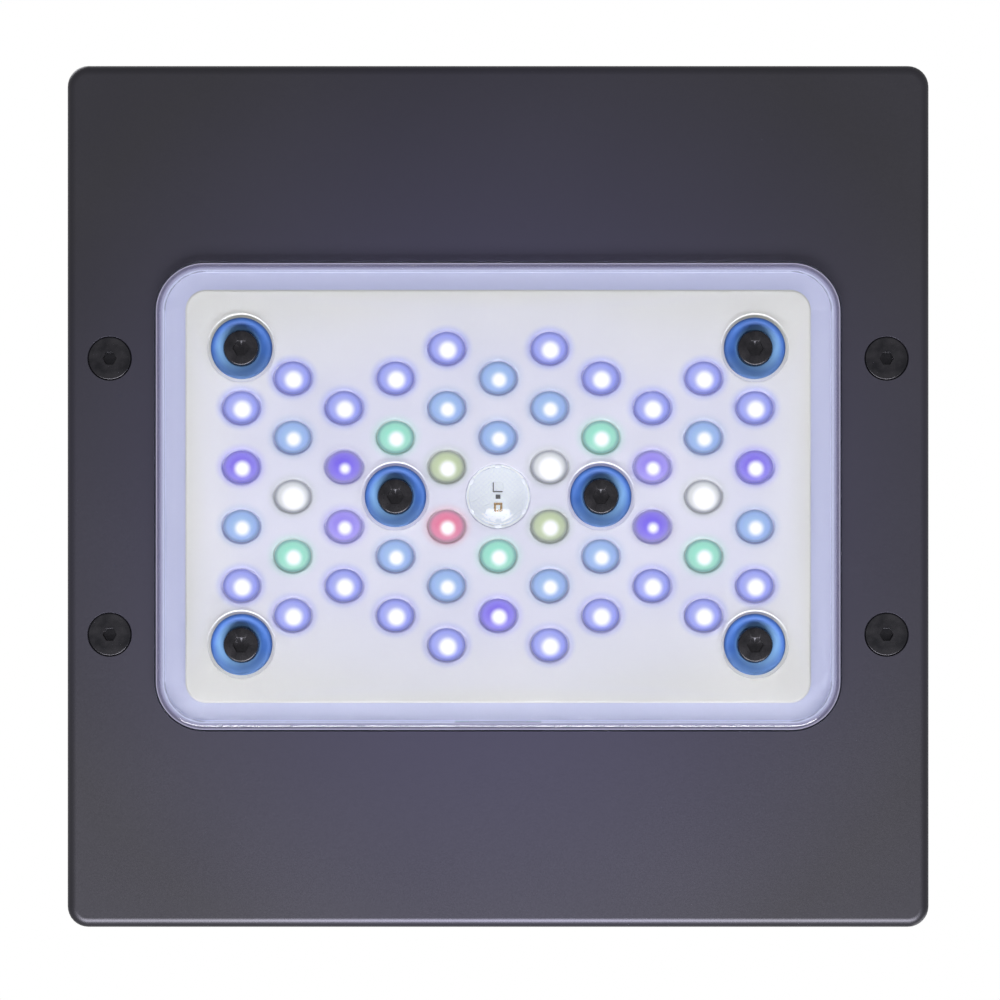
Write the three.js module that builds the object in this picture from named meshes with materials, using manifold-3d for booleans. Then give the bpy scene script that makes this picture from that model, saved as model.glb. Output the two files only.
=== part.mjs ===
// Square LED aquarium light, hung or rested with its light-emitting side down.
// Millimetres, +Z up. z = 0 is the outer face of the lens, and the origin is under the middle of the light.
// The front is the -Y side. The power inlet is on the rear, +Y.

import * as THREE from "three";
import { mergeVertices } from "three/addons/utils/BufferGeometryUtils.js";
import { ConvexGeometry } from "three/addons/geometries/ConvexGeometry.js";
import Module from "manifold-3d";

const wasm = await Module();
wasm.setup();

// Driving dimensions
const gap = 0.3; // clearance between touching pieces
const bodySide = 178;
const bodyCorner = 4.3;
const lensProud = 3; // how far the lens stands out of the housing
const coverTop = 37.2;
const stripTop = 38; // mounting strips, the highest faces of the light

const plateThickness = 3;
const plateInside = lensProud + plateThickness;
const housingTop = 12;
const housingWall = 2.8;
const edgeFillet = 2;

const lensWidth = 141.1;
const lensDepth = 96.2;
const lensCorner = 10;
const lensWall = 1.4;
const lensFace = 1.6; // thickness of the window
const lensFlangeTop = 8.4;
const lensFlangeThickness = 1.2;
const lensFlangeReach = 3.5;
const windowGap = 0.4; // between the lens and the opening it stands in

const panelWidth = 129;
const panelDepth = 85.2;
const panelCorner = 4.3;
const panelBack = 6.7;
const panelBorderFront = 4.9;
const panelBorderWidth = 137.6;
const panelBorderDepth = 92.7;
const panelBorderCorner = 8.2;
const panelScrewHole = 2.5;
const screwSeat = 4.2; // recess in the panel that a cup washer bears on
const screwSeatRadius = 6.9;

const ledPitch = 12.23; // hexagonal lattice, centre to centre
const columnPitch = (ledPitch * Math.sqrt(3)) / 2;
const outerColumn = 5;
const wellWide = 8.2;
const wellTall = 7.3;
const wellFloor = 5.4;
const ledPackage = 2.9;
const boardBack = 7.0;
const boardThickness = 1.6;

const sinkWidth = 148;
const sinkDepth = 128;
const sinkBase = 9.7;
const sinkBaseTop = 14;
const panelScrewTip = 13;
const finTop = 22.9;
const finPitch = 7;
const finThickness = 1.6;

const fanSide = 80;
const fanBase = 23.8;
const fanTop = 34.4;
const fanBore = 38.5;
const fanHoleOffset = 35.75;
const bladeCount = 9;
const bladeTip = 37.3;
const hubRadius = 16.5;
const rotorTop = fanTop - 0.4;
const rotorRoof = 1.5; // thickness of the rotor cup's end

const coverBase = 12.3;
const coverWall = 2.5;
const ventPitch = 8.4;
const ventWidth = 3.6;
const roofInside = coverTop - coverWall;

const plateScrewX = 80.2;
const plateScrewY = 28.5;
const plateScrewHead = 8.8;
const plateScrewHole = 2.9;

const controlBoardZ = 24;
const controlBoardTop = 25.6;
const buttonY = 60;
const buttonSpacing = 17;
const lightPipeX = 34;
const insertX = 58;
const insertY = 30;

const inletX = -35.5;
const usbX = -12;
const socketZ = 18.4;

// Finishes
function finish(color, roughness, metalness) {
  return new THREE.MeshStandardMaterial({ color, roughness, metalness });
}

const darkAluminium = finish(0x45444e, 0.42, 0.6);
const blackPlastic = finish(0x1f1f22, 0.6, 0);
const clearAcrylic = finish(0xe6e9f8, 0.05, 0);
const whitePlastic = finish(0xe2e2ea, 0.5, 0);
const siliconeGrey = finish(0x8d9094, 0.7, 0);
const bareAluminium = finish(0xb4b7ba, 0.35, 0.9);
const blackSteel = finish(0x232327, 0.4, 0.8);
const blueAluminium = finish(0x3f74bd, 0.3, 0.8);
const greenBoard = finish(0x1c4a33, 0.5, 0);
const copperWire = finish(0xb06a3c, 0.4, 0.8);
const brass = finish(0xbf9a52, 0.35, 0.9);
const steel = finish(0xc4c6c9, 0.25, 1);

// Geometry to solid and back
function toSolid(geometry) {
  const bare = new THREE.BufferGeometry();
  bare.setAttribute("position", geometry.getAttribute("position").clone());
  bare.setIndex(geometry.getIndex());
  const merged = mergeVertices(bare, 1e-4);
  const solidMesh = new wasm.Mesh({
    numProp: 3,
    vertProperties: Float32Array.from(merged.getAttribute("position").array),
    triVerts: Uint32Array.from(merged.getIndex().array),
  });
  solidMesh.merge();
  return new wasm.Manifold(solidMesh);
}

function toGeometry(solid) {
  const solidMesh = solid.getMesh();
  const geometry = new THREE.BufferGeometry();
  geometry.setAttribute("position", new THREE.BufferAttribute(solidMesh.vertProperties, 3));
  geometry.setIndex(new THREE.BufferAttribute(solidMesh.triVerts, 1));
  geometry.computeVertexNormals();
  return geometry;
}

function join(first, ...others) {
  return others.reduce((sum, other) => sum.add(other), first);
}

function cut(first, ...others) {
  return others.reduce((rest, other) => rest.subtract(other), first);
}

function moved(solid, x, y, z = 0) {
  return solid.translate([x, y, z]);
}

// Basic shapes, all between two heights
function prism(outline, bottom, top, arcSteps = 2) {
  const depth = top - bottom;
  const options = { depth, bevelEnabled: false, curveSegments: arcSteps };
  const geometry = new THREE.ExtrudeGeometry(outline, options);
  geometry.translate(0, 0, bottom);
  return toSolid(geometry);
}

function block(width, depth, bottom, top, x = 0, y = 0) {
  const geometry = new THREE.BoxGeometry(width, depth, top - bottom);
  geometry.translate(x, y, (bottom + top) / 2);
  return toSolid(geometry);
}

function cone(bottomRadius, topRadius, bottom, top, sides = 16) {
  const geometry = new THREE.CylinderGeometry(topRadius, bottomRadius, top - bottom, sides);
  geometry.rotateX(Math.PI / 2);
  geometry.translate(0, 0, (bottom + top) / 2);
  return toSolid(geometry);
}

function rod(radius, bottom, top, sides = 16) {
  return cone(radius, radius, bottom, top, sides);
}

function turned(profile, sides = 12) {
  const points = profile.map(([radius, height]) => new THREE.Vector2(radius, height));
  const geometry = new THREE.LatheGeometry([...points, points[0]], sides);
  geometry.rotateX(Math.PI / 2);
  return toSolid(geometry);
}

function roundedRectangle(width, depth, corner) {
  const x = width / 2;
  const y = depth / 2;
  const outline = new THREE.Shape();
  outline.moveTo(-x + corner, -y);
  outline.absarc(x - corner, -y + corner, corner, -Math.PI / 2, 0, false);
  outline.absarc(x - corner, y - corner, corner, 0, Math.PI / 2, false);
  outline.absarc(-x + corner, y - corner, corner, Math.PI / 2, Math.PI, false);
  outline.absarc(-x + corner, -y + corner, corner, Math.PI, 1.5 * Math.PI, false);
  outline.closePath();
  return outline;
}

// A convex body through rounded rectangles at rising heights
function stackedHull(levels, arcSteps = 2) {
  const points = [];
  for (const { width, depth, corner, z } of levels) {
    for (const point of roundedRectangle(width, depth, corner).getPoints(arcSteps)) {
      points.push(new THREE.Vector3(point.x, point.y, z));
    }
  }
  return toSolid(new ConvexGeometry(points));
}

function squareLevel(halfSide, corner, z) {
  return { width: 2 * halfSide, depth: 2 * halfSide, corner, z };
}

// A quarter round along the bottom edge of an outline
function filletLevels(width, depth, corner, bottom, radius, steps) {
  const levels = [];
  for (let step = 0; step <= steps; step++) {
    const angle = (step / steps) * (Math.PI / 2);
    const inset = radius * (1 - Math.sin(angle));
    levels.push({
      width: width - 2 * inset,
      depth: depth - 2 * inset,
      corner: Math.max(corner - inset, 0.5),
      z: bottom + radius * (1 - Math.cos(angle)),
    });
  }
  return levels;
}

// Places of repeated features
function columnPlaces(column) {
  const offset = column % 2 === 0 ? 0 : 0.5;
  const places = [];
  for (let row = -3; row < 3.5 - offset; row++) {
    places.push([column * columnPitch, (row + offset) * ledPitch]);
  }
  return places;
}

function latticePlaces() {
  const places = [];
  for (let column = -outerColumn; column <= outerColumn; column++) {
    const reach = column === 1 || column === -1 ? 2.6 : 2.1;
    for (const [x, y] of columnPlaces(column)) {
      const rows = Math.abs(y) / ledPitch;
      const isScrew = Math.abs(column) === 2 && rows < 0.1;
      const isSensor = column === 0 && rows < 0.1;
      if (rows < reach && !isScrew && !isSensor) {
        places.push([x, y]);
      }
    }
  }
  return places;
}

function cornerPlaces(x, y) {
  return [
    [-x, -y],
    [x, -y],
    [-x, y],
    [x, y],
  ];
}

const ledPlaces = latticePlaces();
const panelScrewPlaces = [
  ...cornerPlaces(outerColumn * columnPitch, 2.5 * ledPitch),
  [-2 * columnPitch, 0],
  [2 * columnPitch, 0],
];
const plateScrewPlaces = cornerPlaces(plateScrewX, plateScrewY);
const sinkScrewPlaces = cornerPlaces(64, 59);
const fanScrewPlaces = cornerPlaces(fanHoleOffset, fanHoleOffset);
const boardScrewPlaces = [
  [-45, 55],
  [45, 55],
  [-45, 73],
  [45, 73],
];
const insertPlaces = cornerPlaces(insertX, insertY);
const buttonPlaces = [-1, 0, 1].map((step) => [step * buttonSpacing, buttonY]);

// Lower housing: a plate with a rolled edge and a low wall
function makeBezelHousing() {
  const half = bodySide / 2;
  const outside = stackedHull([
    ...filletLevels(bodySide, bodySide, bodyCorner, lensProud, edgeFillet, 2),
    squareLevel(half, bodyCorner, housingTop),
  ]);
  const insideSide = bodySide - 2 * housingWall;
  const inside = prism(roundedRectangle(insideSide, insideSide, 2), plateInside, housingTop + 1, 1);
  const window = prism(lensOutline(windowGap), lensProud - 1, plateInside + 1, 3);
  const seatTop = lensProud + 2.3;
  const countersink = join(
    cone(plateScrewHead / 2 + gap, plateScrewHole, lensProud, seatTop, 12),
    rod(plateScrewHole, lensProud - 1, plateInside + 1, 12),
  );
  const countersinks = plateScrewPlaces.map(([x, y]) => moved(countersink, x, y));
  const posts = sinkScrewPlaces.map(([x, y]) => moved(rod(4, plateInside - 0.5, sinkBase - gap, 10), x, y));
  const threads = sinkScrewPlaces.map(([x, y]) => moved(rod(1.8, lensProud + 1.2, sinkBase, 8), x, y));
  return cut(join(cut(outside, inside, window), ...posts), ...threads, ...countersinks);
}

// The outline of the lens, grown or shrunk on every side
function lensOutline(growth) {
  return roundedRectangle(lensWidth + 2 * growth, lensDepth + 2 * growth, lensCorner + growth);
}

// Clear tray lens with a clamping flange and a round hole for each cup washer
function makeLensCover() {
  const tray = stackedHull([
    ...filletLevels(lensWidth, lensDepth, lensCorner, 0, 1.2, 2),
    { width: lensWidth, depth: lensDepth, corner: lensCorner, z: lensFlangeTop },
  ], 3);
  const flangeOutline = lensOutline(lensFlangeReach);
  const flange = prism(flangeOutline, lensFlangeTop - lensFlangeThickness, lensFlangeTop);
  const inside = prism(lensOutline(-lensWall), lensFace, lensFlangeTop + 1);
  const holes = panelScrewPlaces.map(([x, y]) => moved(rod(screwSeatRadius, -1, lensFace + 1, 14), x, y));
  return cut(join(tray, flange), inside, ...holes);
}

// Two flat rings clamp the flange: the gasket on the housing side, the seal on the heat sink side
function makeFlatRing(innerGrowth, bottom, top) {
  const outer = prism(lensOutline(lensFlangeReach - gap), bottom, top);
  return cut(outer, prism(lensOutline(innerGrowth), bottom - 1, top + 1));
}

function makeLensGasket() {
  return makeFlatRing(2 * gap, plateInside + gap, lensFlangeTop - lensFlangeThickness - gap);
}

function makeLensSeal() {
  return makeFlatRing(-lensWall, lensFlangeTop + gap, sinkBase - gap);
}

// White panel with a tapered oval well for each light chip and a seat for each cup washer
function makeReflectorPanel() {
  const front = lensFace + gap;
  const field = prism(roundedRectangle(panelWidth, panelDepth, panelCorner), front, panelBack);
  const borderOutline = roundedRectangle(panelBorderWidth, panelBorderDepth, panelBorderCorner);
  const border = prism(borderOutline, panelBorderFront, panelBack);
  const roundWell = cone(wellWide / 2, wellFloor / 2, front, panelBack, 6);
  const ovalWell = roundWell.scale([1, wellTall / wellWide, 1]);
  const wells = ledPlaces.map(([x, y]) => moved(ovalWell, x, y));
  const seats = panelScrewPlaces.map(([x, y]) => moved(rod(screwSeatRadius, 1, screwSeat, 12), x, y));
  const holes = panelScrewPlaces.map(([x, y]) => moved(rod(panelScrewHole, 1, panelBack + 1, 8), x, y));
  return cut(join(field, border), ...wells, ...seats, ...holes, rod(6.6, 1, 7, 16));
}

// Light board with its chips, and the small sensor parts behind the middle window
function makeLedBoard() {
  const board = prism(roundedRectangle(134, 89, 4), boardBack, boardBack + boardThickness, 1);
  const chips = ledPlaces.map(([x, y]) => block(ledPackage, ledPackage, 5.7, boardBack + 0.2, x, y));
  const sensorParts = [
    block(2.0, 1.8, 6.0, boardBack + 0.2, 0.1, -2.1),
    block(1.2, 1.2, 6.3, boardBack + 0.2, 0, 0.1),
    block(1.8, 2.2, 6.1, boardBack + 0.2, 0.1, 2.4),
  ];
  const holes = panelScrewPlaces.map(([x, y]) => moved(rod(panelScrewHole, 6, 9, 8), x, y));
  return cut(join(board, ...chips, ...sensorParts), ...holes);
}

function makeSensorWindow() {
  return turned([[0, 1.9], [4.6, 1.9], [6.1, 2.7], [6.1, 4.4], [5.1, 4.4], [4.9, 3.4], [0, 3.4]], 16);
}

function makeThermalPad() {
  const bottom = boardBack + boardThickness + gap;
  const pad = prism(roundedRectangle(132, 87, 3), bottom, sinkBase - gap, 1);
  const holes = panelScrewPlaces.map(([x, y]) => moved(rod(2.8, bottom - 1, sinkBase, 8), x, y));
  return cut(pad, ...holes, leadSlot(bottom - 1, sinkBase));
}

// Opening that lets the ribbon lead up past the heat sink
function leadSlot(bottom, top) {
  return block(18, 24, bottom, top, 0, 47.5);
}

function makeHeatSink() {
  const base = block(sinkWidth, sinkDepth, sinkBase, sinkBaseTop);
  const fins = [];
  for (let place = -9.5; place < 10; place++) {
    fins.push(block(finThickness, 102, sinkBaseTop - 0.2, finTop, place * finPitch));
  }
  const panelThreads = panelScrewPlaces.map(([x, y]) => moved(rod(2.3, 9, panelScrewTip + gap, 8), x, y));
  const cornerHoles = sinkScrewPlaces.map(([x, y]) => moved(rod(1.9, 9, sinkBaseTop + 1, 8), x, y));
  return cut(join(base, ...fins), ...panelThreads, ...cornerHoles, leadSlot(9, finTop + 1));
}

// Axial fan: frame with four struts, motor plate and bearing tube
function makeFanFrame() {
  const outside = prism(roundedRectangle(fanSide, fanSide, 4), fanBase, fanTop, 1);
  const bore = rod(fanBore, fanBase - 1, fanTop + 1, 28);
  const plate = rod(hubRadius + 0.5, fanBase, fanBase + 1.6, 20);
  const tube = rod(4.2, fanBase, fanBase + 7.6, 12);
  const tubeBore = rod(3.3, fanBase + 1, fanTop, 12);
  const struts = [block(2.4, 79, fanBase, fanBase + 1.6), block(79, 2.4, fanBase, fanBase + 1.6)];
  const holes = fanScrewPlaces.map(([x, y]) => moved(rod(1.9, fanBase - 1, fanTop + 1, 10), x, y));
  return cut(join(cut(outside, bore), plate, tube, ...struts), tubeBore, ...holes);
}

function makeFanBearing() {
  const bottom = fanBase + 1.3;
  const top = fanBase + 7.6;
  return turned([[1.66, bottom], [3, bottom], [3, top], [1.66, top]]);
}

function makeFanShaft() {
  return rod(1.5, fanBase + 1.6, rotorTop - rotorRoof - gap, 12);
}

function makeFanCoil() {
  const bottom = fanBase + 1.9;
  const top = bottom + 4.6;
  const core = turned([[4.5, bottom], [7, bottom], [7, top], [4.5, top]], 12);
  const poles = [0, 90, 180, 270].map((angle) =>
    join(block(7, 4, bottom, top, 9), block(1.8, 9, bottom, top, 12)).rotate([0, 0, angle]));
  return join(core, ...poles);
}

// A cambered blade, pitched about its own radial axis
function makeFanBlade() {
  const section = new THREE.Shape();
  section.moveTo(-6.2, -0.2);
  section.quadraticCurveTo(0, 1.7, 6.2, -0.2);
  section.quadraticCurveTo(0, 0.5, -6.2, -0.2);
  const depth = bladeTip - hubRadius + 1.2;
  const geometry = new THREE.ExtrudeGeometry(section, { depth, bevelEnabled: false, curveSegments: 4 });
  geometry.rotateZ(THREE.MathUtils.degToRad(30));
  geometry.rotateX(Math.PI / 2);
  geometry.rotateZ(Math.PI / 2);
  geometry.translate(hubRadius - 1.2, 0, fanBase + 6.2);
  return toSolid(geometry);
}

function makeFanRotor() {
  const base = fanBase + 2.2;
  const ceiling = rotorTop - rotorRoof;
  const cup = turned([
    [14.9, base], [hubRadius, base], [hubRadius, rotorTop - 1], [hubRadius - 1, rotorTop],
    [0, rotorTop], [0, ceiling], [14.9, ceiling],
  ], 20);
  const blade = makeFanBlade();
  const blades = [];
  for (let index = 0; index < bladeCount; index++) {
    blades.push(blade.rotate([0, 0, (index * 360) / bladeCount]));
  }
  const inside = rod(14.9, base - 3, ceiling, 20);
  const sweep = rod(bladeTip, base, rotorTop, 36);
  return cut(join(cup, ...blades).intersect(sweep), inside);
}

// Four rings of slots over the fan, each crossed by four ribs
function roofGrille() {
  const slots = [];
  const ribHalfWidth = 1.5;
  for (let ring = 0; ring < 4; ring++) {
    const inner = 11.8 + ring * 6.6;
    const outer = inner + 3.8;
    for (let quarter = 0; quarter < 4; quarter++) {
      const innerTrim = Math.asin(ribHalfWidth / inner);
      const outerTrim = Math.asin(ribHalfWidth / outer);
      const turn = Math.PI / 4 + (quarter * Math.PI) / 2;
      const arc = new THREE.Shape();
      arc.absarc(0, 0, outer, turn + outerTrim, turn + Math.PI / 2 - outerTrim, false);
      arc.absarc(0, 0, inner, turn + Math.PI / 2 - innerTrim, turn + innerTrim, true);
      arc.closePath();
      slots.push(prism(arc, roofInside - 1, coverTop + 1, 2 + ring));
    }
  }
  return slots;
}

// Upright slots in both side walls and the front wall
function wallVents() {
  const slot = block(22, ventWidth, 16.5, 29.5, 83, 0);
  const vents = [];
  for (const place of [-7, -6, -5, -2, -1, 0, 1, 2, 5, 6, 7]) {
    const along = place * ventPitch;
    vents.push(moved(slot, 0, along), moved(slot.rotate([0, 0, 180]), 0, along));
  }
  for (let place = -5; place <= 5; place++) {
    vents.push(moved(slot.rotate([0, 0, -90]), place * ventPitch, 0));
  }
  return vents;
}

// Upper shell: upright walls, sloped shoulders, flat roof with two mounting strips
function makeTopCover() {
  const half = bodySide / 2 - gap;
  const shell = stackedHull([
    squareLevel(half, bodyCorner, coverBase),
    squareLevel(half, bodyCorner, 23.5),
    squareLevel(half - 0.8, bodyCorner, 25),
    squareLevel(77, 6.5, 35.7),
    squareLevel(75.4, 6.2, coverTop - 0.5),
    squareLevel(74, 6, coverTop),
  ]);
  const strips = [-insertX, insertX].map((x) =>
    moved(prism(roundedRectangle(16, 84, 3), coverTop - 1, stripTop), x, 0));
  const hollow = stackedHull([
    squareLevel(half - coverWall, 2, coverBase - 1),
    squareLevel(half - coverWall, 2, 22.9),
    squareLevel(74.6, 4, roofInside - 0.6),
    squareLevel(73.8, 4, roofInside),
  ], 1);
  const lip = cut(
    join(
      prism(roundedRectangle(171.8, 171.8, 1.8), 10, 14, 1),
      prism(roundedRectangle(174.6, 174.6, 2.4), coverBase + 0.1, 14, 1),
    ),
    prism(roundedRectangle(168.6, 168.6, 1), 9, 15, 1),
  );
  const plateBosses = plateScrewPlaces.map(([x, y]) => moved(rod(4.7, plateInside + 0.4, 31, 10), x, y));
  const boardPosts = boardScrewPlaces.map(([x, y]) =>
    moved(rod(3, controlBoardTop + gap, coverTop - 1, 8), x, y));
  const insertBosses = insertPlaces.map(([x, y]) => moved(rod(5.2, 29.5, coverTop - 1, 8), x, y));
  const solidParts = join(cut(shell, hollow), ...plateBosses, ...boardPosts, ...insertBosses);
  const trimmed = solidParts.intersect(join(shell, rod(120, 0, coverBase + 0.2, 8)));

  const screwHoles = plateScrewPlaces.map(([x, y]) => moved(rod(plateScrewHole, 5, 22, 8), x, y));
  const boardHoles = boardScrewPlaces.map(([x, y]) => moved(rod(1.7, 25, 32, 6), x, y));
  const insertHoles = insertPlaces.map(([x, y]) => moved(rod(3.5, 31.2, stripTop + 1, 10), x, y));
  const fanHoles = fanScrewPlaces.map(([x, y]) =>
    moved(join(rod(2, 30, stripTop, 10), cone(2, 4.3, roofInside + 0.2, coverTop, 10)), x, y));
  const buttonHoles = buttonPlaces.map(([x, y]) => moved(rod(5, 34, 40, 14), x, y));
  const pipeHole = moved(rod(1.9, 34, 40, 10), lightPipeX, buttonY);
  const inletHole = block(13.2, 10, socketZ - 5.8, socketZ + 5.5, inletX, 86);
  const usbHole = block(10.2, 10, 19.6, 24, usbX, 86);
  return cut(
    join(trimmed, ...strips, lip),
    ...roofGrille(), ...wallVents(), ...screwHoles, ...boardHoles, ...insertHoles,
    ...fanHoles, ...buttonHoles, pipeHole, inletHole, usbHole,
  );
}

// Electronics over the rear of the heat sink
function makeControlBoard() {
  const board = moved(prism(roundedRectangle(100, 33, 1.5), controlBoardZ, controlBoardTop, 1), 0, 63.5);
  const holes = boardScrewPlaces.map(([x, y]) => moved(rod(1.7, 23, 27, 8), x, y));
  const parts = [
    block(9, 9, controlBoardTop - 0.2, 27.2, 33, 70),
    block(12, 6, controlBoardTop - 0.2, 28.6, -33, 52),
    block(7, 5, controlBoardTop - 0.2, 27.4, -34, 70),
    block(3, 1.8, controlBoardTop - 0.2, 26.5, lightPipeX, buttonY),
    moved(rod(4, controlBoardTop - 0.2, 30, 12), -18, 72.5),
    moved(rod(4, controlBoardTop - 0.2, 30, 12), -6, 72.5),
    moved(rod(4, controlBoardTop - 0.2, 30, 12), 6, 72.5),
  ];
  return cut(join(board, ...parts), ...holes);
}

function makeDcInlet() {
  const body = block(12.4, 13.6, socketZ - 5.4, controlBoardZ - gap, inletX, 81.8);
  const bore = rod(3.3, -1, 9, 16).rotate([90, 0, 0]);
  const pin = rod(1, -0.2, 8.4, 10).rotate([90, 0, 0]);
  const mouth = bodySide / 2 - 0.4;
  return join(cut(body, moved(bore, inletX, mouth, socketZ)), moved(pin, inletX, mouth - 0.6, socketZ));
}

function makeUsbSocket() {
  const body = block(9.4, 9, 20.1, controlBoardZ - gap, usbX, 84.1);
  return cut(body, block(7.8, 8, 20.9, 23.0, usbX, 86));
}

function makeRibbonLead() {
  const half = 0.6;
  const start = boardBack + boardThickness + gap;
  const end = controlBoardZ - gap;
  const side = new THREE.Shape();
  side.moveTo(37.5, start);
  side.lineTo(43, start);
  side.quadraticCurveTo(47.2, start, 47.2, start + 4);
  side.lineTo(47.2, 17);
  side.quadraticCurveTo(47.2, 19.4, 49.2, 20.2);
  side.lineTo(54, end - 1.5);
  side.lineTo(54, end);
  side.lineTo(52.6, end);
  side.lineTo(48.2, 20.2 + 2 * half);
  side.quadraticCurveTo(46, 19.8, 46, 17);
  side.lineTo(46, start + 4);
  side.quadraticCurveTo(46, start + 2 * half, 43, start + 2 * half);
  side.lineTo(37.5, start + 2 * half);
  side.closePath();
  const geometry = new THREE.ExtrudeGeometry(side, { depth: 12, bevelEnabled: false, curveSegments: 3 });
  geometry.rotateX(Math.PI / 2);
  geometry.rotateZ(Math.PI / 2);
  geometry.translate(-6, 0, 0);
  return toSolid(geometry);
}

function makeFanLead() {
  const path = new THREE.CatmullRomCurve3([
    new THREE.Vector3(24, 40.4, 28),
    new THREE.Vector3(24, 43, 28),
    new THREE.Vector3(24.5, 45.5, 28.6),
    new THREE.Vector3(26, 49, 28.4),
    new THREE.Vector3(27, 50.5, 27.2),
    new THREE.Vector3(27, 50.8, controlBoardTop + 0.4),
  ]);
  const section = new THREE.Shape();
  section.absarc(0, 0, 1.1, 0, 2 * Math.PI, false);
  const geometry = new THREE.ExtrudeGeometry(section, { steps: 7, extrudePath: path, curveSegments: 3 });
  return toSolid(geometry);
}

function makeButton() {
  const top = coverTop + 0.6;
  return turned([
    [0, 31.9], [2, 31.9], [2, 33.2], [5.8, 33.2], [5.8, roofInside - gap],
    [4.5, roofInside - gap], [4.5, top - 0.6], [3.9, top], [0, top - 0.35],
  ], 12);
}

function makeKeySwitch() {
  const body = block(6, 6, controlBoardTop + gap, 29.3);
  return join(body, rod(1.7, 29, 30.6, 10));
}

function makeStatusLightPipe() {
  return turned([
    [0, 27], [1.5, 27], [1.5, 32.6], [2.6, 32.6], [2.6, roofInside - gap],
    [1.5, roofInside - gap], [1.5, coverTop], [0, coverTop + 0.2],
  ], 10);
}

// Fasteners, each built at its own origin with the head at the bottom
function hexSocket(acrossFlats, bottom, top) {
  return rod(acrossFlats / Math.sqrt(3), bottom, top, 6);
}

function makePanelScrew() {
  const body = turned([
    [0, 0.2], [3.2, 0.2], [3.6, 0.6], [3.6, 3.1], [2, 3.1], [2, panelScrewTip], [0, panelScrewTip],
  ], 12);
  return cut(body, hexSocket(3, -1, 2));
}

function makeCupWasher() {
  const bottom = screwSeat - gap;
  return turned([
    [2.3, 3.4], [3.9, 3.4], [5.2, 1.9], [6, 1.9], [6.35, 2.3], [6.35, bottom], [2.3, bottom],
  ], 12);
}

function makePlateScrew() {
  const headRadius = plateScrewHead / 2;
  const body = turned([
    [0, 0], [headRadius, 0], [headRadius, 0.25], [2.5, 2.35], [2.5, 18], [0, 18],
  ], 12);
  return cut(body, hexSocket(2.5, -1, 1.6));
}

function makeFanScrew() {
  const top = coverTop - 0.2;
  const body = turned([[0, 26], [1.5, 26], [1.5, top - 2.2], [3.8, top], [0, top]], 12);
  return cut(body, hexSocket(2, top - 1.2, top + 1));
}

function makeSinkScrew() {
  const seat = sinkBaseTop + gap;
  const body = turned([[0, 5], [1.5, 5], [1.5, seat], [3, seat], [3, seat + 2], [0, seat + 2]], 10);
  return cut(body, hexSocket(2, seat + 0.8, seat + 3));
}

function makeBoardScrew() {
  const seat = controlBoardZ - gap;
  const headBottom = seat - 1.8;
  const body = turned([
    [0, headBottom], [2.4, headBottom], [2.4, seat], [1.25, seat], [1.25, 31], [0, 31],
  ], 8);
  return cut(body, hexSocket(1.5, seat - 3, seat - 0.9));
}

function makeMountInsert() {
  const bottom = 31.5;
  return turned([[2, bottom], [3.1, bottom], [3.1, stripTop - 0.2], [2, stripTop - 0.2]], 10);
}

// Assembly
const light = new THREE.Group();

function addPart(name, solid, material, x = 0, y = 0, z = 0) {
  const mesh = new THREE.Mesh(toGeometry(solid), material);
  mesh.name = name;
  mesh.position.set(x, y, z);
  light.add(mesh);
}

function addCopies(name, solid, material, places, z = 0) {
  places.forEach(([x, y], index) => addPart(`${name}_${index + 1}`, solid, material, x, y, z));
}

addPart("bezel_housing", makeBezelHousing(), darkAluminium);
addPart("top_cover", makeTopCover(), blackPlastic);
addPart("lens_cover", makeLensCover(), clearAcrylic);
addPart("lens_gasket", makeLensGasket(), siliconeGrey);
addPart("lens_seal", makeLensSeal(), blackPlastic);
addPart("reflector_panel", makeReflectorPanel(), whitePlastic);
addPart("led_board", makeLedBoard(), whitePlastic);
addPart("sensor_window", makeSensorWindow(), clearAcrylic);
addPart("thermal_pad", makeThermalPad(), siliconeGrey);
addPart("heat_sink", makeHeatSink(), bareAluminium);
addPart("fan_frame", makeFanFrame(), blackPlastic);
addPart("fan_bearing", makeFanBearing(), brass);
addPart("fan_coil", makeFanCoil(), copperWire);
addPart("fan_shaft", makeFanShaft(), steel);
addPart("fan_rotor", makeFanRotor(), blackPlastic);
addPart("fan_lead", makeFanLead(), blackPlastic);
addPart("control_board", makeControlBoard(), greenBoard);
addPart("ribbon_lead", makeRibbonLead(), siliconeGrey);
addPart("dc_inlet", makeDcInlet(), blackPlastic);
addPart("usb_socket", makeUsbSocket(), steel);
addPart("status_light_pipe", makeStatusLightPipe(), clearAcrylic, lightPipeX, buttonY);
addCopies("button", makeButton(), blackPlastic, buttonPlaces);
addCopies("key_switch", makeKeySwitch(), blackPlastic, buttonPlaces);
addCopies("panel_screw", makePanelScrew(), blackSteel, panelScrewPlaces);
addCopies("cup_washer", makeCupWasher(), blueAluminium, panelScrewPlaces);
addCopies("plate_screw", makePlateScrew(), blackSteel, plateScrewPlaces, lensProud);
addCopies("fan_screw", makeFanScrew(), blackSteel, fanScrewPlaces);
addCopies("sink_screw", makeSinkScrew(), blackSteel, sinkScrewPlaces);
addCopies("board_screw", makeBoardScrew(), blackSteel, boardScrewPlaces);
addCopies("mount_insert", makeMountInsert(), brass, insertPlaces);

export default light;
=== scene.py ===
# Square LED light for a reef tank, hung with its lamps facing down.
# Sizes are in millimetres until a mesh is made, and the places of the pieces come from the frame.
import math

import bmesh
import bpy
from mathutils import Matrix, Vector
from mathutils.geometry import delaunay_2d_cdt


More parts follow.
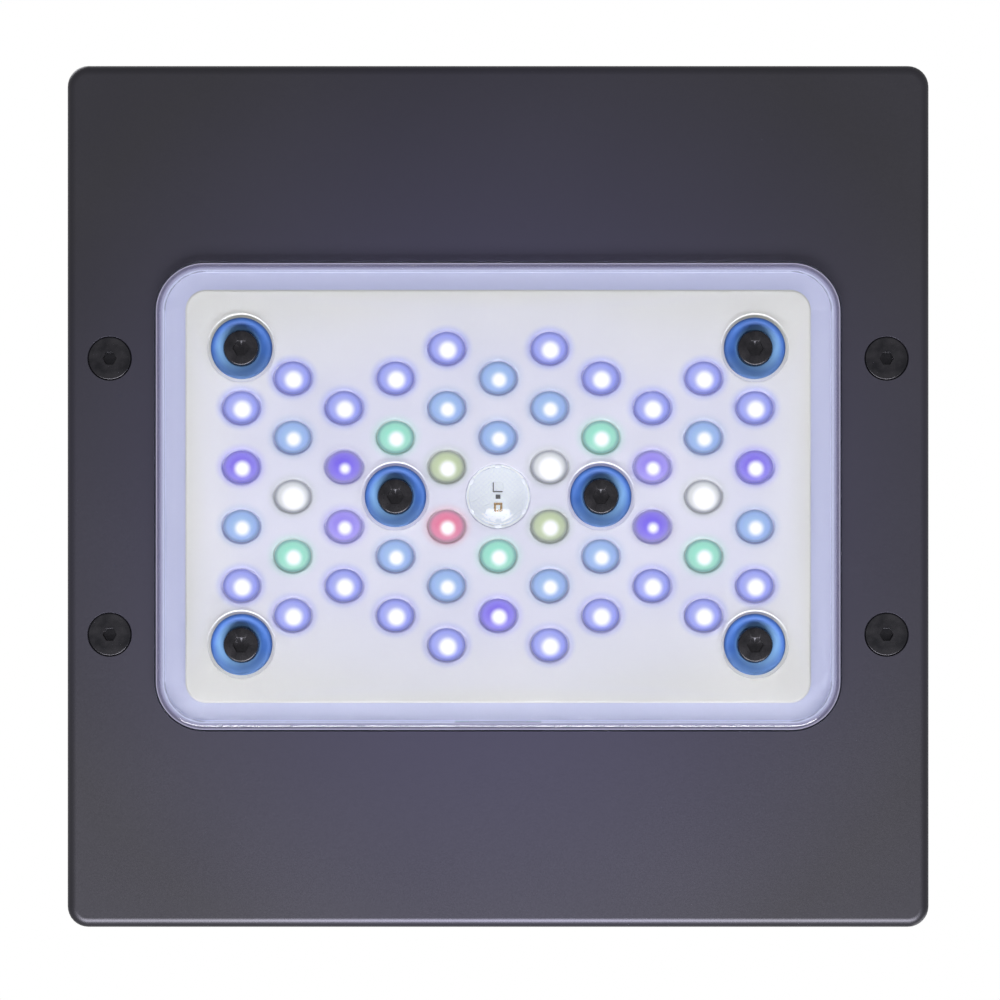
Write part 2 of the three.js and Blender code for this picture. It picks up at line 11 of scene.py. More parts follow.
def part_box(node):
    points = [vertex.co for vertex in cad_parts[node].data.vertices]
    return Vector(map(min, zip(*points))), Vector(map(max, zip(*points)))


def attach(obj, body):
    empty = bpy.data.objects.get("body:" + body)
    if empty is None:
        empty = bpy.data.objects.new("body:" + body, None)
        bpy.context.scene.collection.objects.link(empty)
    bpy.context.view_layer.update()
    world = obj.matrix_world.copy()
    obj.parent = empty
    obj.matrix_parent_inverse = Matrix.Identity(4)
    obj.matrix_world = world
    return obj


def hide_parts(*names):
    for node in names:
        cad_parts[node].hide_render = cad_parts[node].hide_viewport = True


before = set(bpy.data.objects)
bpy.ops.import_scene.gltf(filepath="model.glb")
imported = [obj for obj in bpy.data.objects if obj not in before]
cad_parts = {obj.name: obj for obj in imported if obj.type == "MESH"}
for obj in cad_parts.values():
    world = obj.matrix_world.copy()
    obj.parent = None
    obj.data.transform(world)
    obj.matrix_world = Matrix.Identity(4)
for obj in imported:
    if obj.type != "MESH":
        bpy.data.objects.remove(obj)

mm = 0.001
scene = bpy.context.scene
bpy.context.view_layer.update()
print("frame loaded:", len(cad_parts), "nodes")


def box(node):
    low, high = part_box(node)
    return low / mm, high / mm


def middle(node):
    low, high = box(node)
    return (low.x + high.x) / 2, (low.y + high.y) / 2


def numbered(name):
    found = [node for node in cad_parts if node.startswith(name) and node[len(name):].isdigit()]
    return sorted(found, key=lambda node: int(node[len(name):]))


def roundedRing(width, depth, corner, steps=8, x=0.0, y=0.0):
    ring = []
    for turn, (sideX, sideY) in enumerate([(1, -1), (1, 1), (-1, 1), (-1, -1)]):
        centreX = x + sideX * (width / 2 - corner)
        centreY = y + sideY * (depth / 2 - corner)
        for step in range(steps + 1):
            angle = math.radians(-90 + 90 * turn + 90 * step / steps)
            ring.append((centreX + corner * math.cos(angle), centreY + corner * math.sin(angle)))
    return ring


def ellipseRing(radiusX, radiusY, steps, x=0.0, y=0.0, start=0.0):
    ring = []
    for step in range(steps):
        angle = math.radians(start) + 2 * math.pi * step / steps
        ring.append((x + radiusX * math.cos(angle), y + radiusY * math.sin(angle)))
    return ring


def newPiece(name, points, faces, at=(0, 0, 0)):
    mesh = bpy.data.meshes.new(name)
    mesh.from_pydata([[value * mm for value in point] for point in points], [], faces)
    tidy = bmesh.new()
    tidy.from_mesh(mesh)
    bmesh.ops.recalc_face_normals(tidy, faces=tidy.faces)
    tidy.to_mesh(mesh)
    tidy.free()
    piece = bpy.data.objects.new(name, mesh)
    piece.location = [value * mm for value in at]
    scene.collection.objects.link(piece)
    return piece


# A closed skin over rings of equal length; each level is a ring of (x, y) and its height
def loft(name, levels, at=(0, 0, 0)):
    count = len(levels[0][0])
    points = [(x, y, z) for ring, z in levels for x, y in ring]
    faces = [list(range(count))[::-1], list(range(len(points) - count, len(points)))]
    for level in range(len(levels) - 1):
        for step in range(count):
            after = (step + 1) % count
            low, high = level * count, (level + 1) * count
            faces.append([low + step, low + after, high + after, high + step])
    return newPiece(name, points, faces, at)


# A body turned on a lathe from (radius, height) points, closed on the axis or on itself
def turned(name, profile, sides=48, at=(0, 0, 0)):
    points, faces, rows = [], [], []
    for radius, height in profile:
        if radius < 1e-6:
            rows.append([len(points)] * sides)
            points.append((0, 0, height))
        else:
            rows.append(list(range(len(points), len(points) + sides)))
            points += [(x, y, height) for x, y in ellipseRing(radius, radius, sides)]
    onAxis = profile[0][0] < 1e-6 and profile[-1][0] < 1e-6
    for row in range(len(rows) - 1 if onAxis else len(rows)):
        here, there = rows[row], rows[(row + 1) % len(rows)]
        for step in range(sides):
            after = (step + 1) % sides
            corners = [here[step], here[after], there[after], there[step]]
            face = list(dict.fromkeys(corners))
            if len(face) > 2:
                faces.append(face)
    return newPiece(name, points, faces, at)


def prism(name, ring, low, high, at=(0, 0, 0)):
    return loft(name, [(ring, low), (ring, high)], at)


def rod(name, radius, low, high, sides=32, at=(0, 0, 0)):
    return prism(name, ellipseRing(radius, radius, sides), low, high, at)


def block(name, low, high):
    ring = [(low[0], low[1]), (high[0], low[1]), (high[0], high[1]), (low[0], high[1])]
    return prism(name, ring, low[2], high[2])


# A prism lying along x or y, from a ring of (other axis, z)
def lyingPrism(name, ring, low, high, axis):
    count = len(ring)
    if axis == "x":
        points = [(along, side, z) for along in (low, high) for side, z in ring]
    else:
        points = [(side, along, z) for along in (low, high) for side, z in ring]
    faces = [list(range(count)), list(range(count, 2 * count))]
    faces += [[step, (step + 1) % count, count + (step + 1) % count, count + step] for step in range(count)]
    return newPiece(name, points, faces)


def applyModifiers(piece):
    bpy.context.view_layer.update()
    evaluated = piece.evaluated_get(bpy.context.evaluated_depsgraph_get())
    mesh = bpy.data.meshes.new_from_object(evaluated)
    piece.modifiers.clear()
    old, piece.data = piece.data, mesh
    bpy.data.meshes.remove(old)
    mesh.name = piece.name


# Cuts away or joins on other meshes, which are used up
def combine(piece, others, operation="DIFFERENCE"):
    for other in others:
        step = piece.modifiers.new("combine", "BOOLEAN")
        step.operation = operation
        step.solver = "MANIFOLD"
        step.object = other
    applyModifiers(piece)
    for other in others:
        mesh = other.data
        bpy.data.objects.remove(other)
        bpy.data.meshes.remove(mesh)
    return piece


# Small worn radii on the edges, and shading that keeps flat faces flat
def softenEdges(piece, width, steps=2, angle=32):
    if width:
        edge = piece.modifiers.new("edges", "BEVEL")
        edge.width = width * mm
        edge.segments = steps
        edge.limit_method = "ANGLE"
        edge.angle_limit = math.radians(angle)
        edge.miter_outer = "MITER_ARC"
        edge.use_clamp_overlap = True
    shading = piece.modifiers.new("shading", "WEIGHTED_NORMAL")
    shading.keep_sharp = False
    for face in piece.data.polygons:
        face.use_smooth = True


def finishPiece(piece, material, nodes=(), body="root", edge=0.2, steps=2, angle=32):
    piece.data.materials.clear()
    piece.data.materials.append(material)
    softenEdges(piece, edge, steps, angle)
    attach(piece, body)
    if nodes:
        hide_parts(*nodes)
    return piece


# A part that keeps its own mesh gets rounded edges and its material
def dressNode(node, material, edge=0.15):
    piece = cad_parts[node]
    piece.data.materials.clear()
    piece.data.materials.append(material)
    weld = piece.modifiers.new("weld", "WELD")
    weld.merge_threshold = 0.01 * mm
    softenEdges(piece, edge)


def linear(hexColour):
    channels = [int(hexColour[start:start + 2], 16) / 255 for start in (0, 2, 4)]
    return tuple(c / 12.92 if c <= 0.04045 else ((c + 0.055) / 1.055) ** 2.4 for c in channels) + (1.0,)


def wire(tree, node, inputs):
    for socket, value in inputs.items():
        if isinstance(value, bpy.types.NodeSocket):
            tree.links.new(value, node.inputs[socket])
        else:
            node.inputs[socket].default_value = value


def addNode(tree, kind, inputs=None, **settings):
    node = tree.nodes.new(kind)
    for name, value in settings.items():
        setattr(node, name, value)
    wire(tree, node, inputs or {})
    return node


def startMaterial(name):
    material = bpy.data.materials.new(name)
    material.use_nodes = True
    tree = material.node_tree
    tree.nodes.clear()
    shader = addNode(tree, "ShaderNodeBsdfPrincipled")
    addNode(tree, "ShaderNodeOutputMaterial", {"Surface": shader.outputs["BSDF"]})
    place = addNode(tree, "ShaderNodeTexCoord").outputs["Object"]
    return material, tree, shader, place


def perMetre(size):
    return 1 / (size * mm)


# Two close shades over a noise of a real grain size, and the same noise as relief and gloss
def grainedMaterial(name, look):
    material, tree, shader, place = startMaterial(name)
    grain = addNode(tree, "ShaderNodeTexNoise", {
        "Vector": place, "Scale": perMetre(look["grain"]), "Detail": 3.0, "Roughness": 0.6})
    cloud = addNode(tree, "ShaderNodeTexNoise", {
        "Vector": place, "Scale": perMetre(look["cloud"]), "Detail": 2.0})
    blend = addNode(tree, "ShaderNodeMath", {
        0: grain.outputs["Fac"], 1: cloud.outputs["Fac"]}, operation="MULTIPLY_ADD")
    wire(tree, blend, {1: 0.5, 2: cloud.outputs["Fac"]})
    shades = addNode(tree, "ShaderNodeValToRGB", {"Fac": blend.outputs[0]})
    shades.color_ramp.elements[0].position = 0.45
    shades.color_ramp.elements[0].color = linear(look["dark"])
    shades.color_ramp.elements[1].position = 1.0
    shades.color_ramp.elements[1].color = linear(look["light"])
    gloss = addNode(tree, "ShaderNodeMapRange", {
        "Value": grain.outputs["Fac"], "To Min": look["roughness"] - 0.05,
        "To Max": look["roughness"] + 0.05})
    relief = addNode(tree, "ShaderNodeBump", {
        "Height": grain.outputs["Fac"], "Strength": look["relief"], "Distance": look["grain"] * mm * 0.2})
    wire(tree, shader, {
        "Base Color": shades.outputs["Color"], "Roughness": gloss.outputs["Result"],
        "Normal": relief.outputs["Normal"], "Metallic": look.get("metallic", 0.0)})
    if "ior" in look:
        wire(tree, shader, {"IOR": look["ior"]})
    if "coat" in look:
        wire(tree, shader, {"Coat Weight": look["coat"], "Coat Roughness": 0.15})
    return material, tree, shader, place


# Anodised aluminium, bead blasted: a dark violet grey with a soft metal sheen and a very fine grain, and
# painted violet lamp light round the window
def anodisedHousing():
    material, tree, shader, place = grainedMaterial("anodised_aluminium_blasted", {
        "grain": 0.35, "cloud": 70, "dark": "333238", "light": "38373d", "roughness": 0.4, "relief": 0.12,
        "metallic": 0.85})
    away = addNode(tree, "ShaderNodeVectorMath", {0: place}, operation="LENGTH")
    paintedSpillShare = addNode(tree, "ShaderNodeMapRange", {  # painted violet lamp light on the housing round the window
        "Value": away.outputs["Value"], "From Min": 35 * mm, "From Max": 104 * mm, "To Min": 1.0,
        "To Max": 0.0})
    plain = shader.inputs["Base Color"].links[0].from_socket
    paintedSpillColour = addNode(tree, "ShaderNodeMix", {0: paintedSpillShare.outputs["Result"], 6: plain, 7: linear("3e3c50")},
                     data_type="RGBA")
    wire(tree, shader, {"Base Color": paintedSpillColour.outputs[2]})
    return material


# ABS, spark-eroded mould: near black, matt, with a pebble texture that catches the light
def mouldedCover():
    return grainedMaterial("abs_spark_textured", {
        "grain": 0.55, "cloud": 40, "dark": "17171a", "light": "242428", "roughness": 0.52, "relief": 0.55,
        "ior": 1.53})[0]


# PBT with glass fibre, as moulded: a slightly greyer, smoother black with faint flow clouds
def mouldedFanPlastic():
    return grainedMaterial("pbt_moulded", {
        "grain": 0.4, "cloud": 12, "dark": "1b1b1d", "light": "2b2b2e", "roughness": 0.38, "relief": 0.25,
        "ior": 1.55})[0]


# Silicone rubber, compression moulded: soft dark grey, no gloss
def mouldedRubber():
    return grainedMaterial("silicone_rubber_keys", {
        "grain": 0.3, "cloud": 8, "dark": "2c2c30", "light": "3a3a3f", "roughness": 0.68, "relief": 0.3,
        "ior": 1.43})[0]


# Silicone sheet, die cut: grey and waxy
def siliconeSheet():
    return grainedMaterial("silicone_sheet", {
        "grain": 0.5, "cloud": 14, "dark": "83868b", "light": "979a9f", "roughness": 0.62, "relief": 0.3,
        "ior": 1.43})[0]


# Alloy steel, black oxide: oily black with a slight brown-grey sheen on the edges
def blackOxideSteel():
    return grainedMaterial("steel_black_oxide", {
        "grain": 0.25, "cloud": 3, "dark": "222226", "light": "353438", "roughness": 0.28, "relief": 0.2,
        "metallic": 0.9})[0]


# Nylon, moulded: dull charcoal screws and switches
def switchPlastic():
    return grainedMaterial("nylon_moulded", {
        "grain": 0.3, "cloud": 6, "dark": "202023", "light": "2f2f33", "roughness": 0.5, "relief": 0.2,
        "ior": 1.53})[0]


# PVC sleeve over stranded copper: soft black with a low gloss
def leadSleeve():
    return grainedMaterial("pvc_sleeve", {
        "grain": 0.3, "cloud": 9, "dark": "191a1d", "light": "26272b", "roughness": 0.45, "relief": 0.15,
        "ior": 1.53})[0]


# Brass, turned and knurled: warm yellow metal with fine rings from the tool
def turnedBrass():
    material, tree, shader, place = grainedMaterial("brass_turned", {
        "grain": 0.2, "cloud": 4, "dark": "b98f45", "light": "dcbb74", "roughness": 0.27, "relief": 0.1,
        "metallic": 1.0})
    return material


# Steel, nickel plated: bright and slightly blurred
def platedSteel():
    return grainedMaterial("steel_nickel_plated", {
        "grain": 0.3, "cloud": 6, "dark": "b4b6ba", "light": "d3d5d8", "roughness": 0.24, "relief": 0.08,
        "metallic": 1.0})[0]


# Aluminium, extruded and left bare: pale grey with die lines along the fins
def extrudedAluminium():
    material, tree, shader, place = startMaterial("aluminium_extruded")
    stretched = addNode(tree, "ShaderNodeMapping", {"Vector": place, "Scale": (1.0, 0.02, 1.0)})
    lines = addNode(tree, "ShaderNodeTexNoise", {
        "Vector": stretched.outputs["Vector"], "Scale": perMetre(0.3), "Detail": 3.0})
    shades = addNode(tree, "ShaderNodeValToRGB", {"Fac": lines.outputs["Fac"]})
    shades.color_ramp.elements[0].color = linear("a2a5aa")
    shades.color_ramp.elements[1].color = linear("d2d5d9")
    gloss = addNode(tree, "ShaderNodeMapRange",
                    {"Value": lines.outputs["Fac"], "To Min": 0.28, "To Max": 0.42})
    relief = addNode(tree, "ShaderNodeBump", {
        "Height": lines.outputs["Fac"], "Strength": 0.3, "Distance": 0.03 * mm})
    wire(tree, shader, {
        "Base Color": shades.outputs["Color"], "Metallic": 1.0, "Roughness": gloss.outputs["Result"],
        "Normal": relief.outputs["Normal"]})
    return material


# Aluminium, turned and anodised blue: a saturated metallic blue with fine rings round the screw, a painted
# highlight crescent on one side and paler painted light toward the rear
def anodisedBlue(name, outward):
    material, tree, shader, place = startMaterial(name)
    rings = addNode(tree, "ShaderNodeTexWave", {
        "Vector": place, "Scale": perMetre(0.3) / 20, "Distortion": 0.6, "Detail": 1.0},
        wave_type="RINGS", rings_direction="Z")
    haze = addNode(tree, "ShaderNodeTexNoise", {"Vector": place, "Scale": perMetre(2.5), "Detail": 2.0})
    shades = addNode(tree, "ShaderNodeValToRGB", {"Fac": haze.outputs["Fac"]})
    shades.color_ramp.elements[0].color = linear("244686")
    shades.color_ramp.elements[1].color = linear("305ca2")
    shifted = addNode(tree, "ShaderNodeVectorMath", {0: place, 1: (-0.7 * outward * mm, 0, 0)},
                      operation="ADD")
    flat = addNode(tree, "ShaderNodeVectorMath", {0: shifted.outputs["Vector"], 1: (1, 1, 0)},
                   operation="MULTIPLY")
    away = addNode(tree, "ShaderNodeVectorMath", {0: flat.outputs["Vector"]}, operation="LENGTH")
    paintedCrescent = addNode(tree, "ShaderNodeMapRange", {  # painted highlight: a pale crescent on one side of the dish
        "Value": away.outputs["Value"], "From Min": 3.9 * mm, "From Max": 5.0 * mm, "To Min": 0.34,
        "To Max": 0.0})
    crescentPainted = addNode(tree, "ShaderNodeMix", {
        0: paintedCrescent.outputs["Result"], 6: shades.outputs["Color"], 7: linear("9ccdf0")}, data_type="RGBA")
    split = addNode(tree, "ShaderNodeSeparateXYZ", {0: place})
    paintedRearLight = addNode(tree, "ShaderNodeMapRange", {  # and painted light, paler toward the rear of the fixture
        "Value": split.outputs["Y"], "From Min": 1 * mm, "From Max": 7 * mm, "To Max": 0.45})
    rearLightPainted = addNode(tree, "ShaderNodeMix", {
        0: paintedRearLight.outputs["Result"], 6: crescentPainted.outputs[2], 7: linear("86b2ea")}, data_type="RGBA")
    gloss = addNode(tree, "ShaderNodeMapRange",
                    {"Value": haze.outputs["Fac"], "To Min": 0.55, "To Max": 0.65})
    relief = addNode(tree, "ShaderNodeBump", {
        "Height": rings.outputs["Fac"], "Strength": 0.15, "Distance": 0.02 * mm})
    wire(tree, shader, {
        "Base Color": rearLightPainted.outputs[2], "Metallic": 0.12, "Roughness": gloss.outputs["Result"],
        "Normal": relief.outputs["Normal"]})
    return material


# PMMA, injection moulded: water clear with a polished face and a breath of flow haze
def clearAcrylic(name):
    material, tree, shader, place = startMaterial(name)
    flow = addNode(tree, "ShaderNodeTexNoise", {"Vector": place, "Scale": perMetre(25), "Detail": 1.0})
    tint = addNode(tree, "ShaderNodeValToRGB", {"Fac": flow.outputs["Fac"]})
    tint.color_ramp.elements[0].color = linear("f6f7fc")
    tint.color_ramp.elements[1].color = linear("fdfdff")
    gloss = addNode(tree, "ShaderNodeMapRange",
                    {"Value": flow.outputs["Fac"], "To Min": 0.0, "To Max": 0.03})
    wire(tree, shader, {
        "Base Color": tint.outputs["Color"], "Roughness": gloss.outputs["Result"], "IOR": 1.49,
        "Transmission Weight": 1.0})
    return material, tree, shader, place


# The same PMMA for the lens, with the lamp light that runs through the sheet and comes out in its rounded
# rim painted on as a glow and a highlight line
def edgeLitAcrylic(width, depth, corner):
    material, tree, shader, place = clearAcrylic("pmma_moulded_rim_glow_painted")
    folded = addNode(tree, "ShaderNodeVectorMath", {0: place}, operation="ABSOLUTE")
    core = ((width / 2 - corner) * mm, (depth / 2 - corner) * mm, 0)
    beyond = addNode(tree, "ShaderNodeVectorMath", {0: folded.outputs["Vector"], 1: core},
                     operation="SUBTRACT")
    outward = addNode(tree, "ShaderNodeVectorMath", {0: beyond.outputs["Vector"]}, operation="MAXIMUM")
    flat = addNode(tree, "ShaderNodeVectorMath", {0: outward.outputs["Vector"], 1: (1, 1, 0)},
                   operation="MULTIPLY")
    reach = addNode(tree, "ShaderNodeVectorMath", {0: flat.outputs["Vector"]}, operation="LENGTH")
    inward = addNode(tree, "ShaderNodeMapRange", {  # 0 at the outline, 1 at 2.15 mm inside it
        "Value": reach.outputs["Value"], "From Min": corner * mm, "From Max": (corner - 2.15) * mm})
    # painted emission: a bright highlight line at the outline, a darker band, then a lavender glow inward
    rim = addNode(tree, "ShaderNodeValToRGB", {"Fac": inward.outputs["Result"]})
    stops = [(0.09, "a9a5be"), (0.17, "5e5a78"), (0.34, "5a5878"), (0.44, "76749a"), (0.56, "9a9abe"),
             (0.7, "a6aac8"), (0.9, "969ab8")]
    rim.color_ramp.elements[0].color = linear("9b98b4")
    rim.color_ramp.elements[1].color = linear("000000")
    for position, shade in stops:
        rim.color_ramp.elements.new(position).color = linear(shade)
    height = addNode(tree, "ShaderNodeSeparateXYZ", {"Vector": place})
    frontOnly = addNode(tree, "ShaderNodeMapRange", {
        "Value": height.outputs["Z"], "From Min": 1.22 * mm, "From Max": 1.35 * mm, "To Min": 0.9,
        "To Max": 0.0})
    wire(tree, shader,
         {"Emission Color": rim.outputs["Color"], "Emission Strength": frontOnly.outputs["Result"]})
    return material


# Polycarbonate, white moulded reflector: satin white, with the lamps' light round it painted on as a glow
def whiteReflector():
    material, tree, shader, place = startMaterial("polycarbonate_white_moulded")
    peel = addNode(tree, "ShaderNodeTexNoise", {"Vector": place, "Scale": perMetre(0.8), "Detail": 2.0})
    tone = addNode(tree, "ShaderNodeAttribute", attribute_name="tone")
    glow = addNode(tree, "ShaderNodeAttribute", attribute_name="glow")
    gloss = addNode(tree, "ShaderNodeMapRange",
                    {"Value": peel.outputs["Fac"], "To Min": 0.5, "To Max": 0.6})
    relief = addNode(tree, "ShaderNodeBump", {
        "Height": peel.outputs["Fac"], "Strength": 0.15, "Distance": 0.05 * mm})
    wire(tree, shader, {
        "Base Color": tone.outputs["Color"], "Roughness": gloss.outputs["Result"], "IOR": 1.58,
        "Emission Color": glow.outputs["Color"], "Emission Strength": 1.0,
        "Normal": relief.outputs["Normal"]})
    return material


# Polycarbonate, small moulded clips: milky white, with a painted glow that stands for highlights of the
# lamps reflected at the window's edge
def milkyClip():
    material, tree, shader, place = grainedMaterial("polycarbonate_clip_painted_highlight", {
        "grain": 0.3, "cloud": 3, "dark": "b4b8c0", "light": "c4c8d0", "roughness": 0.4, "relief": 0.05,
        "ior": 1.58})
    # painted highlight glow
    wire(tree, shader, {"Emission Color": linear("eef2f6"), "Emission Strength": 0.4})
    return material


# Silicone, cast lens over each lamp: lit from inside, white hot at the chip and coloured round it
def litLampLens():
    material, tree, shader, place = startMaterial("silicone_lamp_lens_lit")
    ripple = addNode(tree, "ShaderNodeTexNoise", {"Vector": place, "Scale": perMetre(1.2), "Detail": 1.0})
    glow = addNode(tree, "ShaderNodeAttribute", attribute_name="glow")
    relief = addNode(tree, "ShaderNodeBump", {
        "Height": ripple.outputs["Fac"], "Strength": 0.05, "Distance": 0.05 * mm})
    wire(tree, shader, {
        "Base Color": linear("30303c"), "Roughness": 0.5, "IOR": 1.41,
        "Emission Color": glow.outputs["Color"], "Emission Strength": 1.0,
        "Normal": relief.outputs["Normal"]})
    return material


# FR4, white solder mask: clean matt white with a ghost of the weave, with the lamps' light painted on as a
# glow
def whiteSolderMask():
    material, tree, shader, place = startMaterial("fr4_white_solder_mask")
    weave = addNode(tree, "ShaderNodeTexChecker", {
        "Vector": place, "Scale": perMetre(0.6), "Color1": linear("bec3c4"), "Color2": linear("c2c7c8")})
    gloss = addNode(tree, "ShaderNodeMapRange",
                    {"Value": weave.outputs["Fac"], "To Min": 0.42, "To Max": 0.5})
    wire(tree, shader, {
        "Base Color": weave.outputs["Color"], "Roughness": gloss.outputs["Result"], "IOR": 1.5,
        "Emission Color": weave.outputs["Color"], "Emission Strength": 0.95})
    return material


# FR4, green solder mask over copper: tracks show as slightly lighter lines
def greenCircuitBoard():
    material, tree, shader, place = startMaterial("fr4_green_solder_mask")
    tracks = addNode(tree, "ShaderNodeTexBrick", {
        "Vector": place, "Scale": perMetre(9), "Color1": linear("174a33"), "Color2": linear("1b543a"),
        "Mortar": linear("3a8a60"), "Mortar Size": 0.02, "Brick Width": 0.9, "Row Height": 0.35})
    relief = addNode(tree, "ShaderNodeBump", {
        "Height": tracks.outputs["Fac"], "Strength": 0.3, "Distance": 0.05 * mm}, invert=True)
    wire(tree, shader, {
        "Base Color": tracks.outputs["Color"], "Roughness": 0.35, "IOR": 1.5,
        "Normal": relief.outputs["Normal"]})
    return material


# Copper wire, enamelled and wound: turns show as fine rounded lines
def woundCopper():
    material, tree, shader, place = startMaterial("copper_wire_wound")
    turns = addNode(tree, "ShaderNodeTexWave", {
        "Vector": place, "Scale": perMetre(0.4) / 20, "Distortion": 1.0, "Detail": 1.0},
        bands_direction="Z")
    shades = addNode(tree, "ShaderNodeValToRGB", {"Fac": turns.outputs["Fac"]})
    shades.color_ramp.elements[0].color = linear("7c3d1c")
    shades.color_ramp.elements[1].color = linear("cf8450")
    relief = addNode(tree, "ShaderNodeBump", {
        "Height": turns.outputs["Fac"], "Strength": 0.8, "Distance": 0.15 * mm})
    wire(tree, shader, {
        "Base Color": shades.outputs["Color"], "Metallic": 1.0, "Roughness": 0.32,
        "Normal": relief.outputs["Normal"]})
    return material


# Polycarbonate light pipe, milky: glows a quiet blue at its end
def milkyLightPipe():
    material, tree, shader, place = startMaterial("polycarbonate_light_pipe")
    cloud = addNode(tree, "ShaderNodeTexNoise", {"Vector": place, "Scale": perMetre(1.5), "Detail": 2.0})
    shades = addNode(tree, "ShaderNodeValToRGB", {"Fac": cloud.outputs["Fac"]})
    shades.color_ramp.elements[0].color = linear("7fb2ff")
    shades.color_ramp.elements[1].color = linear("a8ccff")
    wire(tree, shader, {
        "Base Color": shades.outputs["Color"], "Roughness": 0.3, "IOR": 1.58,
        "Emission Color": shades.outputs["Color"], "Emission Strength": 0.7})
    return material


# Painted studio floor: pale, even, faintly mottled
def paintedFloor():
    return grainedMaterial("matt_paint_pale", {
        "grain": 4, "cloud": 40, "dark": "f4f4f4", "light": "f7f7f7", "roughness": 0.8, "relief": 0.03,
        "ior": 1.5})[0]


housingMetal = anodisedHousing()
coverPlastic = mouldedCover()
fanPlastic = mouldedFanPlastic()
keyRubber = mouldedRubber()
gasketSilicone = siliconeSheet()
screwSteel = blackOxideSteel()
partPlastic = switchPlastic()
sleevePlastic = leadSleeve()
insertBrass = turnedBrass()
platedMetal = platedSteel()
finMetal = extrudedAluminium()
# two copies of the blue that differ only in the side of the painted highlight crescent
washerMetals = [anodisedBlue("anodised_aluminium_blue_highlight_left", -1),
                anodisedBlue("anodised_aluminium_blue_highlight_right", 1)]
windowAcrylic = clearAcrylic("pmma_moulded_clear")[0]
panelWhite = whiteReflector()
clipPlastic = milkyClip()
lampLens = litLampLens()
boardWhite = whiteSolderMask()
boardGreen = greenCircuitBoard()
coilCopper = woundCopper()
pipePlastic = milkyLightPipe()
print("materials made:", len(bpy.data.materials))


bezel = {"corner": 4.3, "fillet": 2.0, "filletSteps": 8, "plate": 3.0, "wall": 2.8, "windowGap": 0.4,
         "seatDepth": 2.3, "seatGap": 0.18, "postRadius": 4.0, "edge": 0.25}


def buildBezel():
    low, high = box("bezel_housing")
    side = high.x - low.x
    levels = []
    for step in range(bezel["filletSteps"] + 1):
        angle = math.radians(90 * step / bezel["filletSteps"])
        inset = bezel["fillet"] * (1 - math.sin(angle))
        height = low.z + bezel["fillet"] * (1 - math.cos(angle))
        levels.append((roundedRing(side - 2 * inset, side - 2 * inset, bezel["corner"] - inset), height))
    levels.append((roundedRing(side, side, bezel["corner"]), high.z))
    housing = loft("bezel_housing_shell", levels)
    room = side - 2 * bezel["wall"]
    inside = prism("inside", roundedRing(room, room, 2), low.z + bezel["plate"], high.z + 1)
    windowRing = roundedRing(lensSize[0] + 2 * bezel["windowGap"], lensSize[1] + 2 * bezel["windowGap"],
                             lensSize[2] + bezel["windowGap"], 16)
    cutters = [inside, prism("window", windowRing, low.z - 1, low.z + bezel["plate"] + 1)]
    for node in numbered("plate_screw_"):
        x, y = middle(node)
        head = (box(node)[1].x - box(node)[0].x) / 2 + bezel["seatGap"]
        seat = [(0, low.z - 1), (head, low.z - 1), (head, low.z + 0.1), (2.9, low.z + bezel["seatDepth"]),
                (2.9, low.z + 5), (0, low.z + 5)]
        cutters.append(turned("seat", seat, 48, (x, y, 0)))
    combine(housing, cutters)
    postWall = [(1.8, low.z + 1.5), (bezel["postRadius"], low.z + 1.5),
                (bezel["postRadius"], high.z - 2.6), (1.8, high.z - 2.6)]
    posts = [turned("post", postWall, 24, (*middle(node), 0)) for node in numbered("sink_screw_")]
    combine(housing, posts, "UNION")
    finishPiece(housing, housingMetal, ["bezel_housing"], edge=bezel["edge"])


lens = {"fillet": 1.2, "filletSteps": 8, "corner": 10.0, "window": 1.6, "wall": 1.4, "flangeThick": 1.2,
        "flangeReach": 3.5, "seatRadius": 6.9, "edge": 0.12}
lensLow, lensHigh = box("lens_cover")
lensSize = (lensHigh.x - lensLow.x - 2 * lens["flangeReach"],
            lensHigh.y - lensLow.y - 2 * lens["flangeReach"],
            lens["corner"])  # width, depth and corner of the clear tray
panelLow, panelHigh = box("reflector_panel")
panel = {"width": 129.0, "depth": 85.2, "corner": 4.3, "front": panelLow.z, "back": panelHigh.z,
         "fillet": 0.5, "borderWidth": panelHigh.x - panelLow.x, "borderDepth": panelHigh.y - panelLow.y,
         "borderCorner": 8.2, "borderFront": 4.9,
         "seatRadius": 6.9, "seatFloor": 4.2, "boltRadius": 2.5, "sensorRadius": 6.6,
         "wellWide": 8.2, "wellTall": 7.3, "floorShare": 0.66}
lamp = {"edgeShare": 0.955, "crown": 2.3, "shoulder": 3.3, "back": 5.5, "chipX": 0.2, "chipY": 0.4,
        "sides": 40, "ringStep": 0.05, "soft": 0.65, "side": 0.3, "rimPaintedShade": 0.88}

# Lamps from the front to the back of each column, left to right: s is a screw and o the sensor
lampColumns = "srvbrs rbwgr rdpr rgsbr rblebr bbogv rbwlbr rgsbr rpdr rbwgr srvbrs".split()
